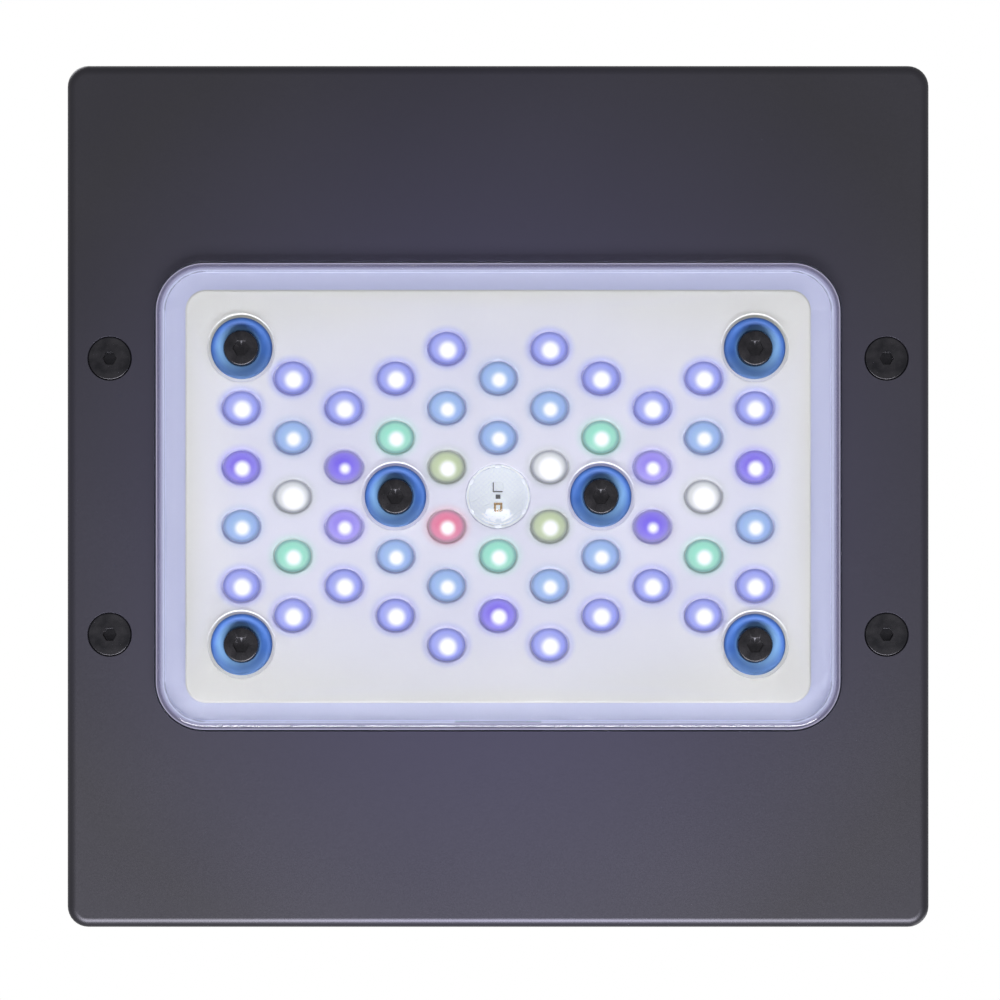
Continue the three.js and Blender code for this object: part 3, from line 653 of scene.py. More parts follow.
# core is the radius of the white-hot spot; the colours run from beside it out to the rim and the panel; rim
# is a darker painted shade round each lens and halo a painted glow on the panel
lampKinds = {
    "r": {"name": "royal_blue", "core": 1.7, "near": "b3baf4", "body": "a0a8f4", "rim": "8b8fd6",
          "halo": "aeb4e9"},
    "v": {"name": "violet", "core": 1.5, "near": "8470ec", "body": "9489f0", "rim": "8f88da",
          "halo": "b9b6ec"},
    "d": {"name": "dim_violet", "core": 0.95, "near": "7f6af0", "body": "8f80ea", "rim": "9f99d3",
          "halo": "c3c2dc"},
    "p": {"name": "light_violet", "core": 1.3, "near": "9c8cf2", "body": "a89cf4", "rim": "9c97d6",
          "halo": "b9b6e4"},
    "b": {"name": "blue", "core": 1.4, "near": "a6c6f0", "body": "9cb9ec", "rim": "8fa3cd",
          "halo": "b9c3e0"},
    "w": {"name": "white", "core": 2.3, "near": "ecefef", "body": "dcdfe1", "rim": "aaaeb9",
          "halo": "c8cbd5"},
    "g": {"name": "mint_green", "core": 1.5, "near": "a0edd4", "body": "a0e2cc", "rim": "8dbcb8",
          "halo": "c1d8dc"},
    "l": {"name": "lime", "core": 1.55, "near": "ccdcb0", "body": "c0ceaa", "rim": "9fa99f",
          "halo": "c4cbd2"},
    "e": {"name": "red", "core": 1.4, "near": "ee7f9f", "body": "e68aa9", "rim": "bf9aac",
          "halo": "d6bfd0"},
}
# The panel's colours are painted light: far, middle and near paint the lamps' glow on the white, border and
# borderNear a lavender glow on the low border; the border's base colour is darker, a painted shade
panelLook = {"base": "b4b4b6", "borderShadedBase": "96969f", "far": "d9d9d8", "middle": "dbdbe5",
             "near": "d7d7e8", "border": "b3b7d6", "borderNear": "c3c8ff", "lit": (1.04, 1.04, 1.08),
             "reach": 16.0}


def smoothStep(low, high, value):
    share = min(max((value - low) / (high - low), 0), 1)
    return share * share * (3 - 2 * share)


def mixed(first, second, share):
    return tuple(a + (b - a) * share for a, b in zip(first, second))


def latticePlaces():
    cornerX, cornerY = middle("panel_screw_4")
    half = len(lampColumns) // 2
    pitchX, pitchY = cornerX / half, 2 * cornerY / (len(lampColumns[0]) - 1)
    found = []
    for column, letters in enumerate(lampColumns):
        for row, letter in enumerate(letters):
            x = (column - half) * pitchX
            y = (row - (len(letters) - 1) / 2) * pitchY
            found.append((letter, x, y))
    return found


def lampRadius(x, y):
    return math.hypot(x / (panel["wellWide"] / 2), y / (panel["wellTall"] / 2))


def glowAttribute(mesh, name, colours):
    layer = mesh.color_attributes.new(name, "FLOAT_COLOR", "POINT")
    layer.data.foreach_set("color", [value for colour in colours for value in colour])


# How much lamp light reaches a place on the panel, from 0 far away to 1 among the lamps
def lampLight(x, y, places):
    total = 0
    for letter, lampX, lampY in places:
        if letter not in "so":
            total += math.exp(-((x - lampX) ** 2 + (y - lampY) ** 2) / panelLook["reach"] ** 2)
    return min(total / 4.5, 1)


def onBorder(x, y, z):
    corner = panel["corner"]
    past = math.hypot(max(abs(x) - panel["width"] / 2 + corner, 0),
                      max(abs(y) - panel["depth"] / 2 + corner, 0))
    return past > corner - 0.1 and z > panel["borderFront"] - 0.01


# How much of the studio light falls on the panel: more toward the rear, and less on the low border in front
def studioShare(x, y, z, places):
    if onBorder(x, y, z):
        return 0.73 + 0.6 * smoothStep(36, 45, y) - 0.22 * smoothStep(36, 45, -y)
    for letter, lampX, lampY in places:
        if letter == "s" and math.hypot(x - lampX, y - lampY) < panel["seatRadius"] + 0.1:
            return 0.8 - 0.3 * (y - lampY) / panel["seatRadius"]  # the washer shades its own seat
    return 1 + 0.22 * smoothStep(0, 40, y)


# Painted lamp light on the panel: a glow among the lamps, a painted halo round each lamp and a darker
# painted shade on each well's rim
def panelShade(x, y, z, places):
    light = lampLight(x, y, places)
    if onBorder(x, y, z):
        shade = mixed(linear(panelLook["border"]), linear(panelLook["borderNear"]),
                      smoothStep(0.05, 0.5, light))
    else:
        shade = mixed(linear(panelLook["far"]), linear(panelLook["middle"]), smoothStep(0.05, 0.6, light))
        shade = mixed(shade, linear(panelLook["near"]), smoothStep(0.6, 1.0, light))
    for letter, lampX, lampY in places:
        if letter not in "so":
            radius = lampRadius(x - lampX, y - lampY)
            if radius < 1.7:
                kind = lampKinds[letter]
                shade = mixed(shade, linear(kind["halo"]), 1 - smoothStep(0.9, 1.42, radius))
                shade = mixed(shade, linear(kind["rim"]), 1 - smoothStep(0.94, 1.03, radius))
    return shade


# The white panel is one closed skin: flat faces are filled between rings, and each hole is a tube of rings
def buildPanel():
    places = latticePlaces()
    points, faces = [], []

    def addRing(ring, z):
        points.extend((x, y, z) for x, y in ring)
        return list(range(len(points) - len(ring), len(points)))

    def bridge(first, second):
        for step in range(len(first)):
            after = (step + 1) % len(first)
            faces.append([first[step], first[after], second[after], second[step]])

    def holeRings(letter, x, y):
        front, back = panel["front"], panel["back"]
        if letter == "s":
            seat, floor, bolt = panel["seatRadius"], panel["seatFloor"], panel["boltRadius"]
            sizes = [(seat + 0.2, front), (seat, front + 0.2), (seat, floor), (bolt, floor), (bolt, back)]
            return [(ellipseRing(size, size, 48, x, y), z) for size, z in sizes]
        if letter == "o":
            size = panel["sensorRadius"]
            return [(ellipseRing(size + 0.2, size + 0.2, 48, x, y), front),
                    (ellipseRing(size, size, 48, x, y), front + 0.2),
                    (ellipseRing(size, size, 48, x, y), back)]
        wide, tall, share = panel["wellWide"] / 2, panel["wellTall"] / 2, panel["floorShare"]
        return [(ellipseRing(wide + 0.15, tall + 0.15, 32, x, y), front),
                (ellipseRing(wide, tall, 32, x, y), front + 0.15),
                (ellipseRing(wide * 0.95, tall * 0.95, 32, x, y), front + 0.8),
                (ellipseRing(wide * 0.9, tall * 0.9, 32, x, y), front + 1.6),
                (ellipseRing(wide * share, tall * share, 32, x, y), back)]

    def fillFlat(outer, holes, extra, insideHole):
        index = outer + [i for hole in holes for i in hole]
        loops, start = [], 0
        for loop in [outer, *holes]:
            loops += [(start + step, start + (step + 1) % len(loop)) for step in range(len(loop))]
            start += len(loop)
        flat = [Vector(points[i][:2]) for i in index] + [Vector(place) for place in extra]
        z = points[outer[0]][2]
        index += addRing(extra, z)
        found = delaunay_2d_cdt(flat, loops, [], 0, 1e-5)
        origin = [sources[0] for sources in found[3]]
        for face in found[2]:
            centre = sum((found[0][corner] for corner in face), Vector((0, 0))) / len(face)
            if not insideHole(centre.x, centre.y):
                faces.append([index[origin[corner]] for corner in face])

    width, depth, corner, fillet = panel["width"], panel["depth"], panel["corner"], panel["fillet"]
    outline = []
    for step in range(5):
        angle = math.radians(90 * step / 4)
        inset = fillet * (1 - math.sin(angle))
        outline.append((roundedRing(width - 2 * inset, depth - 2 * inset, corner - inset, 10),
                        panel["front"] + fillet * (1 - math.cos(angle))))
    outline.append((roundedRing(width, depth, corner, 10), panel["borderFront"]))
    borderSides = (panel["borderWidth"], panel["borderDepth"], panel["borderCorner"], 10)
    outline.append((roundedRing(*borderSides), panel["borderFront"]))
    outline.append((roundedRing(*borderSides), panel["back"]))
    outer = [addRing(ring, z) for ring, z in outline]
    for first, second in zip(outer, outer[1:]):
        bridge(first, second)

    fronts, backs = [], []
    for letter, x, y in places:
        rings = [addRing(ring, z) for ring, z in holeRings(letter, x, y)]
        for first, second in zip(rings, rings[1:]):
            bridge(first, second)
        fronts.append(rings[0])
        backs.append(rings[-1])

    def insideFront(x, y):
        for letter, lampX, lampY in places:
            if letter in "so":
                reach = panel["seatRadius"] + 0.2 if letter == "s" else panel["sensorRadius"] + 0.2
                if math.hypot(x - lampX, y - lampY) < reach * 0.994:
                    return True
            elif math.hypot((x - lampX) / (panel["wellWide"] / 2 + 0.15),
                            (y - lampY) / (panel["wellTall"] / 2 + 0.15)) < 0.99:
                return True
        return False

    def insideBack(x, y):
        for letter, lampX, lampY in places:
            reach = {"s": panel["boltRadius"], "o": panel["sensorRadius"]}.get(letter)
            if reach and math.hypot(x - lampX, y - lampY) < reach * 0.994:
                return True
            if not reach and lampRadius(x - lampX, y - lampY) < panel["floorShare"] * 0.99:
                return True
        return False

    extra = []
    for letter, x, y in places:
        if letter not in "so":
            for share in (1.09, 1.17, 1.27, 1.4):
                reachX, reachY = panel["wellWide"] / 2 * share, panel["wellTall"] / 2 * share
                extra += ellipseRing(reachX, reachY, 28, x, y, 5)
    spacing = 3.5
    for column in range(-17, 18):
        for row in range(-11, 12):
            x, y = column * spacing, row * spacing
            clear = all(math.hypot(x - placeX, y - placeY) > 7.9 for _, placeX, placeY in places)
            if clear and abs(x) < width / 2 - 2 and abs(y) < depth / 2 - 2:
                extra.append((x, y))
    fillFlat(outer[0], fronts, extra, insideFront)
    fillFlat(outer[-1], backs, [], insideBack)

    piece = newPiece("reflector_panel_moulded", points, faces)
    # The glow is the painted colour less the studio light that falls there, so it carries the painted lamp
    # light
    shades = [panelShade(*point, places) for point in points]
    tones, glows = [], []
    for (x, y, z), shade in zip(points, shades):
        tone = linear(panelLook["borderShadedBase" if onBorder(x, y, z) else "base"])
        lit = [tone[channel] * panelLook["lit"][channel] * studioShare(x, y, z, places)
               for channel in range(3)]
        tones.append(tone)
        glows.append(tuple(max(shade[channel] - lit[channel], 0) for channel in range(3)) + (1.0,))
    glowAttribute(piece.data, "tone", tones)
    glowAttribute(piece.data, "glow", glows)
    finishPiece(piece, panelWhite, ["reflector_panel"], edge=0)


# One piece for each colour of lamp: low silicone lenses, shaded from the hot chip out to the rim
def buildLamps():
    veil = 0.06  # light that the clear lens adds on top
    shares = [lamp["ringStep"] * step for step in range(1, int(lamp["edgeShare"] / lamp["ringStep"]) + 1)]
    shares.append(lamp["edgeShare"])
    wide, tall = panel["wellWide"] / 2, panel["wellTall"] / 2
    for letter, kind in lampKinds.items():
        spots = [(x, y) for found, x, y in latticePlaces() if found == letter]
        points, faces, shades = [], [], []
        for spotX, spotY in spots:
            start = len(points)
            layers = [(share, lamp["crown"] + (lamp["shoulder"] - lamp["crown"]) * share ** 2.5)
                      for share in shares]
            layers += [(lamp["edgeShare"] - 0.04, lamp["shoulder"] + 0.5), (0.68, lamp["back"])]
            points.append((spotX, spotY, lamp["crown"]))
            for share, z in layers:
                points += [(x, y, z)
                           for x, y in ellipseRing(wide * share, tall * share, lamp["sides"], spotX, spotY)]
            sides = lamp["sides"]
            for step in range(sides):
                after = (step + 1) % sides
                faces.append([start, start + 1 + step, start + 1 + after])
                for layer in range(len(layers) - 1):
                    here, there = start + 1 + layer * sides, start + 1 + (layer + 1) * sides
                    faces.append([here + step, here + after, there + after, there + step])
            last = start + 1 + (len(layers) - 1) * sides
            faces.append([last + step for step in range(sides)])
            for x, y, z in points[start:]:
                share = lampRadius(x - spotX, y - spotY)
                deep = ((spotX - x) * 0.6 + (spotY - y) * 0.8) / wide  # the side with less light
                shade = mixed(linear(kind["body"]), linear(kind["near"]),
                              1 - smoothStep(0.35, 0.75, share) + lamp["side"] * deep)
                # painted shade: the rim of each lens is darkened into an outline
                rim = tuple(value * lamp["rimPaintedShade"] for value in linear(kind["rim"]))
                shade = mixed(shade, rim, smoothStep(0.7, 0.9, share))
                fromChip = math.hypot(x - spotX - lamp["chipX"], y - spotY - lamp["chipY"])
                hot = 1 - smoothStep(kind["core"] - lamp["soft"], kind["core"] + lamp["soft"], fromChip)
                shade = tuple(max(value - veil, 0) for value in shade[:3])
                shades.append(mixed(shade, (1.05, 1.05, 1.05), hot) + (1.0,))
        piece = newPiece("lamp_lenses_" + kind["name"], points, faces)
        glowAttribute(piece.data, "glow", shades)
        finishPiece(piece, lampLens, edge=0)


def buildLens():
    low, high = box("lens_cover")
    width, depth, corner = lensSize
    levels = []
    for step in range(lens["filletSteps"] + 1):
        angle = math.radians(90 * step / lens["filletSteps"])
        inset = lens["fillet"] * (1 - math.sin(angle))
        ring = roundedRing(width - 2 * inset, depth - 2 * inset, corner - inset, 16)
        levels.append((ring, low.z + lens["fillet"] * (1 - math.cos(angle))))
    levels.append((roundedRing(width, depth, corner, 16), high.z))
    tray = loft("lens_cover_clear", levels)
    reach = lens["flangeReach"]
    flangeRing = roundedRing(width + 2 * reach, depth + 2 * reach, corner + reach, 16)
    combine(tray, [prism("flange", flangeRing, high.z - lens["flangeThick"], high.z)], "UNION")
    wall = lens["wall"]
    insideRing = roundedRing(width - 2 * wall, depth - 2 * wall, corner - wall, 16)
    cutters = [prism("inside", insideRing, low.z + lens["window"], high.z + 1)]
    for node in numbered("panel_screw_"):
        ring = ellipseRing(lens["seatRadius"], lens["seatRadius"], 64, *middle(node))
        cutters.append(prism("hole", ring, low.z - 1, low.z + lens["window"] + 1))
    combine(tray, cutters)
    finishPiece(tray, edgeLitAcrylic(width, depth, corner), ["lens_cover"],
                edge=lens["edge"])


sensor = {"clips": 6, "clipWide": 0.75, "clipTall": 0.42, "clipFront": 1.65, "clipGap": 0.1}


def buildSensor():
    low, high = box("sensor_window")
    radius = high.x
    window = turned("sensor_window_clear", [
        (0, low.z), (radius - 0.7, low.z), (radius - 0.2, low.z + 0.2), (radius, low.z + 0.7),
        (radius, high.z), (radius - 0.5, high.z), (radius - 0.5, low.z + 1.3), (0, low.z + 1.3)], 96)
    finishPiece(window, windowAcrylic, ["sensor_window"], edge=0)
    reach = radius + sensor["clipGap"]
    for turn in range(sensor["clips"]):  # small milky clips that hold the window, glowing as painted highlights of the lamps nearby
        angle = math.radians(30 + 60 * turn)
        ring = [((reach - b) * math.cos(angle) - a * math.sin(angle),
                 (reach - b) * math.sin(angle) + a * math.cos(angle))
                for a, b in ellipseRing(sensor["clipWide"], sensor["clipTall"], 20)]
        clip = prism("sensor_clip_%d" % (turn + 1), ring, sensor["clipFront"], low.z - 0.05)
        finishPiece(clip, clipPlastic, edge=0.08)
    parts = [  # name, corners in x and y, front and back, material
        ("sensor_diode", (-0.95, -3.05), (1.05, -1.2), 5.7, 5.95, boardWhite),
        # the two dark strips along the diode's side and end are a painted shadow
        ("sensor_diode_painted_shadow_side", (-1.2, -3.1), (-0.95, -0.95), 5.6, 6.9, partPlastic),
        ("sensor_diode_painted_shadow_end", (-0.94, -1.2), (1.0, -0.95), 5.6, 6.9, partPlastic),
        ("sensor_chip", (-0.55, -0.4), (0.5, 0.55), 5.8, 6.25, partPlastic),
        ("sensor_contact", (-0.95, 1.4), (0.95, 3.4), 5.7, 6.05, insertBrass),
        ("sensor_contact_pad", (-0.45, 1.9), (0.45, 2.9), 5.55, 5.68, boardWhite),
    ]
    for name, first, second, front, back, material in parts:
        finishPiece(block(name, (*first, front), (*second, back)), material, edge=0.05)


print("building the underside")
buildBezel()
buildLens()
buildPanel()
buildLamps()
buildSensor()


def hexHole(acrossFlats, low, high, at=(0, 0, 0)):
    corner = acrossFlats / math.sqrt(3)
    return prism("hex", ellipseRing(corner, corner, 6), low, high, at)


def place(piece, x, y):
    piece.location = (x * mm, y * mm, 0)
    return piece


def buildPanelScrews():
    for node in numbered("panel_screw_"):
        low, high = box(node)
        radius = (high.x - low.x) / 2
        screw = turned(node + "_black", [
            (0, low.z), (radius - 0.35, low.z), (radius - 0.1, low.z + 0.15), (radius, low.z + 0.45),
            (radius, low.z + 2.9), (2, low.z + 2.9), (2, high.z), (0, high.z)], 48)
        drill = [(0, low.z - 1), (1.5, low.z - 1), (1.5, low.z + 1.7), (0, low.z + 2.3)]
        combine(screw, [hexHole(3, low.z - 1, low.z + 1.7), turned("drill", drill, 24)])
        place(screw, *middle(node))
        finishPiece(screw, screwSteel, [node], edge=0.1)


def buildWashers():
    for node in numbered("cup_washer_"):
        low, high = box(node)
        radius = (high.x - low.x) / 2
        washer = turned(node + "_blue", [
            (2.3, low.z + 1.5), (3.7, low.z + 1.5), (3.75, low.z + 0.95), (4.3, low.z + 0.7),
            (5.0, low.z + 0.25), (5.5, low.z + 0.04), (5.8, low.z), (radius - 0.25, low.z + 0.1),
            (radius - 0.06, low.z + 0.3), (radius, low.z + 0.6), (radius, high.z), (2.3, high.z)], 64)
        place(washer, *middle(node))
        washerMetal = washerMetals[0 if washer.location.x < 0 else 1]  # the painted highlight crescent faces outward
        finishPiece(washer, washerMetal, [node], edge=0.08)


def buildPlateScrews():
    for node in numbered("plate_screw_"):
        low, high = box(node)
        radius = (high.x - low.x) / 2
        screw = turned(node + "_black", [
            (0, low.z), (radius - 0.15, low.z), (radius, low.z + 0.15), (radius, low.z + 0.3),
            (2.5, low.z + 2.35), (2.5, high.z), (0, high.z)], 48)
        combine(screw, [hexHole(2.5, low.z - 1, low.z + 1.6)])
        place(screw, *middle(node))
        finishPiece(screw, screwSteel, [node], edge=0.1)


print("building the fasteners")
buildPanelScrews()
buildWashers()
buildPlateScrews()


# Each level of the shell and of its hollow is half a side, a corner and a height
cover = {"levels": [(88.7, 4.3, 12.3), (88.7, 4.3, 23.5), (88.3, 4.3, 24.5), (87.5, 4.3, 25.4),
                    (77.0, 6.5, 35.7), (76.3, 6.4, 36.3), (75.4, 6.2, 36.8), (74.0, 6.0, 37.2)],
         "hollow": [(86.2, 2, 11.3), (86.2, 2, 22.9), (74.6, 4, 34.1), (73.8, 4, 34.7)],
         "roof": 37.2, "ceiling": 34.7, "strip": (58, 16, 84, 3), "stripBevel": 0.25,
         "lipHalf": 85.9, "lipStepHalf": 87.3, "lipHoleHalf": 84.3, "lipBottom": 10.0, "lipStep": 12.4,
         "lipTop": 14.0, "buttonHole": 5.0, "lightHole": 1.9, "inletHole": (13.2, 11.3),
         "inletHeight": 18.25, "usbHole": (10.2, 4.4), "usbHeight": 21.8, "holeCorner": 1.2,
         "ventWidth": 3.6, "ventPitch": 8.4, "ventHeights": (16.5, 29.5), "grilleRings": 4,
         "grilleStart": 11.8, "grillePitch": 6.6, "grilleSlot": 3.8, "rib": 1.5, "edge": 0.3}


def squareRing(half, corner, steps=8):
    return roundedRing(2 * half, 2 * half, corner, steps)


# A curved slot of the grille, between two radii and clear of the ribs on the diagonals
def grilleSlot(inner, outer, quarter):
    innerTrim, outerTrim = math.asin(cover["rib"] / inner), math.asin(cover["rib"] / outer)
    turn = math.pi / 4 + quarter * math.pi / 2
    steps = 28
    ring = []
    for radius, trim, order in [(outer, outerTrim, range(steps + 1)),
                                (inner, innerTrim, range(steps, -1, -1))]:
        for step in order:
            angle = turn + trim + (math.pi / 2 - 2 * trim) * step / steps
            ring.append((radius * math.cos(angle), radius * math.sin(angle)))
    return prism("slot", ring, cover["ceiling"] - 1, cover["roof"] + 1)


def wallVents():
    low, high = cover["ventHeights"]
    half = cover["ventWidth"] / 2
    vents = []
    for axis, side, places in [("x", 1, (-7, -6, -5, -2, -1, 0, 1, 2, 5, 6, 7)),
                               ("x", -1, (-7, -6, -5, -2, -1, 0, 1, 2, 5, 6, 7)), ("y", -1, range(-5, 6))]:
        for step in places:
            ring = roundedRing(2 * half, high - low, half - 0.02, 8, step * cover["ventPitch"],
                               (low + high) / 2)
            first, last = sorted((side * 72.0, side * 94.0))
            vents.append(lyingPrism("vent", ring, first, last, axis))
    return vents


def buildTopCover():
    shell = loft("top_cover_shell", [(squareRing(half, corner), z) for half, corner, z in cover["levels"]])
    hollow = loft("hollow", [(squareRing(half, corner), z) for half, corner, z in cover["hollow"]])
    combine(shell, [hollow])
    lipBottom, lipTop = cover["lipBottom"], cover["lipTop"]
    lip = prism("lip", squareRing(cover["lipHalf"], 1.8), lipBottom, lipTop)
    combine(lip, [prism("lip_step", squareRing(cover["lipStepHalf"], 2.4), cover["lipStep"], lipTop)],
            "UNION")
    combine(lip, [prism("lip_hole", squareRing(cover["lipHoleHalf"], 1), lipBottom - 1, lipTop + 1)])
    added = [lip]
    stripX, stripWidth, stripDepth, stripCorner = cover["strip"]
    stripTop = box("top_cover")[1].z
    bevel = cover["stripBevel"]
    for side in (-1, 1):
        stripRing = roundedRing(stripWidth, stripDepth, stripCorner, 10, side * stripX)
        topRing = roundedRing(stripWidth - 2 * bevel, stripDepth - 2 * bevel, stripCorner - bevel, 10,
                              side * stripX)
        added.append(loft("strip", [
            (stripRing, cover["roof"] - 1), (stripRing, stripTop - bevel), (topRing, stripTop)]))
    cutters = wallVents()
    insideRoof, aboveTop = cover["roof"] - 1, stripTop + 1
    bosses = [  # nodes, then the radius, bottom, top and sides of each boss and of the hole in it
        ("plate_screw_", (4.7, 6.4, 27, 32), (2.9, 5, 22, 32)),
        ("mount_insert_", (5.2, 29.5, insideRoof, 32), (3.5, 31.2, aboveTop, 40)),
        ("board_screw_", (3, 25.9, insideRoof, 24), (1.7, 25, 32, 24)),
    ]
    for nodes, boss, hole in bosses:
        for node in numbered(nodes):
            at = (*middle(node), 0)
            added.append(rod("boss", *boss, at))
            cutters.append(rod("hole", *hole, at))
    for node in numbered("fan_screw_"):
        seat = [(0, 30), (2, 30), (2, cover["ceiling"] + 0.2), (4.3, cover["roof"]), (4.3, aboveTop),
                (0, aboveTop)]
        cutters.append(turned("hole", seat, 40, (*middle(node), 0)))
    holeLow, holeHigh = cover["ceiling"] - 0.7, cover["roof"] + 2.8
    for node in numbered("button_"):
        cutters.append(rod("hole", cover["buttonHole"], holeLow, holeHigh, 48, (*middle(node), 0)))
    cutters.append(rod("hole", cover["lightHole"], holeLow, holeHigh, 32,
                       (*middle("status_light_pipe"), 0)))
    for node, size, height in [("dc_inlet", cover["inletHole"], cover["inletHeight"]),
                               ("usb_socket", cover["usbHole"], cover["usbHeight"])]:
        hole = roundedRing(*size, cover["holeCorner"], 6, middle(node)[0], height)
        cutters.append(lyingPrism("hole", hole, 80, 92, "y"))
    for ring in range(cover["grilleRings"]):
        inner = cover["grilleStart"] + ring * cover["grillePitch"]
        for quarter in range(4):
            cutters.append(grilleSlot(inner, inner + cover["grilleSlot"], quarter))
    combine(shell, added, "UNION")
    combine(shell, cutters)
    finishPiece(shell, coverPlastic, ["top_cover"], edge=cover["edge"])


fan = {"bore": 38.5, "side": 80.0, "corner": 4.0, "plateRadius": 17.0, "hub": 16.5, "cup": 14.9,
       "roof": 1.5, "blades": 9, "tip": 37.2, "rootPitch": 36.0, "tipPitch": 23.0, "chord": (11.0, 13.6),
       "camber": 1.5, "thick": 1.1, "sections": 9, "plateThick": 1.6, "tube": 4.2, "tubeBore": 3.3,
       "tubeHeight": 7.6, "armLength": 23.4, "armWidth": 2.4, "armMiddle": 27.8, "bolt": 1.9}


def buildFanFrame():
    low, high = box("fan_frame")
    frameBody = prism("fan_frame_body", squareRing(fan["side"] / 2, fan["corner"]), low.z, high.z)
    flare = [(0, low.z - 1), (fan["bore"] + 0.7, low.z - 1), (fan["bore"] + 0.7, low.z),
             (fan["bore"], low.z + 1.2), (fan["bore"], high.z - 1.2), (fan["bore"] + 0.7, high.z),
             (fan["bore"] + 0.7, high.z + 1), (0, high.z + 1)]
    combine(frameBody, [turned("bore", flare, 96)])
    arms = [rod("plate", fan["plateRadius"], low.z, low.z + fan["plateThick"], 64),
            rod("tube", fan["tube"], low.z, low.z + fan["tubeHeight"], 40)]
    for quarter in range(4):
        armRing = roundedRing(fan["armLength"], fan["armWidth"], 0.4, 3, fan["armMiddle"])
        arm = prism("arm", armRing, low.z, low.z + fan["plateThick"])
        arm.rotation_euler = (0, 0, quarter * math.pi / 2)
        arms.append(arm)
    combine(frameBody, arms, "UNION")
    cutters = [rod("tube_bore", fan["tubeBore"], low.z + 1, high.z, 40)]
    for node in numbered("fan_screw_"):
        cutters.append(rod("hole", fan["bolt"], low.z - 1, high.z + 1, 24, (*middle(node), 0)))
    combine(frameBody, cutters)
    finishPiece(frameBody, fanPlastic, ["fan_frame"], edge=0.2)


# One blade: thin cambered sections, pitched more at the hub than at the tip
def fanBlade(name, turn, middleZ):
    root, tip = fan["hub"] - 1.2, fan["tip"]
    levels = []
    for section in range(fan["sections"] + 1):
        share = section / fan["sections"]
        radius = root + (tip - root) * share
        pitch = math.radians(fan["rootPitch"] + (fan["tipPitch"] - fan["rootPitch"]) * share)
        chord = fan["chord"][0] + (fan["chord"][1] - fan["chord"][0]) * smoothStep(0, 0.8, share)
        chord *= 1 - 0.3 * smoothStep(0.82, 1.0, share)  # the corners of the tip are rounded off
        sweep = 2.2 * share ** 2
        upper, lower = [], []
        for step in range(13):
            along = step / 12
            bow = fan["camber"] * 4 * along * (1 - along)
            half = fan["thick"] * (along * (1 - along)) ** 0.5 + 0.12
            upper.append(((along - 0.5) * chord, bow + half - 0.5 * fan["camber"]))
            lower.append(((along - 0.5) * chord, bow - half - 0.5 * fan["camber"]))
        levels.append((radius, [
            (u * math.cos(pitch) - v * math.sin(pitch) - sweep, u * math.sin(pitch) + v * math.cos(pitch))
            for u, v in upper + lower[::-1]]))
    count = len(levels[0][1])
    points = []
    for radius, section in levels:
        for across, height in section:
            out = math.sqrt(max(radius ** 2 - across ** 2, 0)) if radius > root else radius
            points.append((out * math.cos(turn) - across * math.sin(turn),
                           out * math.sin(turn) + across * math.cos(turn), middleZ + height))
    faces = [list(range(count)), list(range(len(points) - count, len(points)))]
    for level in range(len(levels) - 1):
        for step in range(count):
            after = (step + 1) % count
            here, there = level * count, (level + 1) * count
            faces.append([here + step, here + after, there + after, there + step])
    return newPiece(name, points, faces)


def buildFanRotor():
    low, high = box("fan_rotor")
    base, top = low.z, high.z
    ceiling = top - fan["roof"]
    hub = turned("fan_rotor_moulded", [
        (fan["cup"], base), (fan["hub"] - 0.3, base), (fan["hub"], base + 0.3), (fan["hub"], top - 1.2),
        (fan["hub"] - 0.35, top - 0.35), (fan["hub"] - 1.2, top), (9.0, top), (8.7, top - 0.25),
        (0, top - 0.25), (0, ceiling), (fan["cup"], ceiling)], 96)
    blades = [fanBlade("blade", math.radians(index * 360 / fan["blades"]), (base + top) / 2 - 0.1)
              for index in range(fan["blades"])]
    combine(hub, blades, "UNION")
    combine(hub, [prism("inside", ellipseRing(fan["cup"], fan["cup"], 96), base - 3, ceiling)])
    finishPiece(hub, fanPlastic, ["fan_rotor"], body="fan_rotor", edge=0)


def buildButtons():
    for node in numbered("button_"):
        low, high = box(node)
        cap = turned(node + "_cap", [
            (0, low.z), (2, low.z), (2, 33.2), (5.8, 33.2), (5.8, 34.4), (4.5, 34.4), (4.5, high.z - 0.7),
            (4.38, high.z - 0.3), (4.1, high.z - 0.06), (3.8, high.z), (3.2, high.z - 0.08),
            (1.6, high.z - 0.3), (0, high.z - 0.36)], 56, (*middle(node), 0))
        finishPiece(cap, keyRubber, [node], body=node, edge=0)


# Both sockets open to the rear; each depth is measured in from the mouth
inlet = {"height": 18.4, "corner": 0.8, "bore": 3.3, "depth": 9, "rim": 4.1, "rimDepth": 0.5,
         "pin": 1.0, "pinTip": 0.9, "liner": 3.25, "linerBore": 2.9, "linerStart": 1.2}
usb = {"corner": 1.5, "mouth": (8.5, 2.7, 1.3), "depth": 6, "tongue": (6.6, 0.7, 0.3), "tongueTip": 1.0}


def buildInlet():
    low, high = box("dc_inlet")
    x = middle("dc_inlet")[0]

    def barrel(name, radius, deep, proud, sides=48):
        ring = ellipseRing(radius, radius, sides, x, inlet["height"])
        return lyingPrism(name, ring, high.y - deep, high.y + proud, "y")

    outline = roundedRing(high.x - low.x, high.z - low.z, inlet["corner"], 5, x, (low.z + high.z) / 2)
    body = lyingPrism("dc_inlet_body", outline, low.y, high.y, "y")
    combine(body, [barrel("bore", inlet["bore"], inlet["depth"], 1),
                   barrel("rim", inlet["rim"], inlet["rimDepth"], 1)])
    finishPiece(body, partPlastic, ["dc_inlet"], edge=0.2)
    pin = barrel("dc_inlet_pin", inlet["pin"], inlet["depth"] + 0.2, -inlet["pinTip"], 32)
    finishPiece(pin, platedMetal, edge=0.3)
    liner = barrel("dc_inlet_liner", inlet["liner"], inlet["depth"] - 0.1, -inlet["linerStart"])
    combine(liner, [barrel("liner_bore", inlet["linerBore"], inlet["depth"] - 0.4, 0)])
    finishPiece(liner, platedMetal, edge=0)


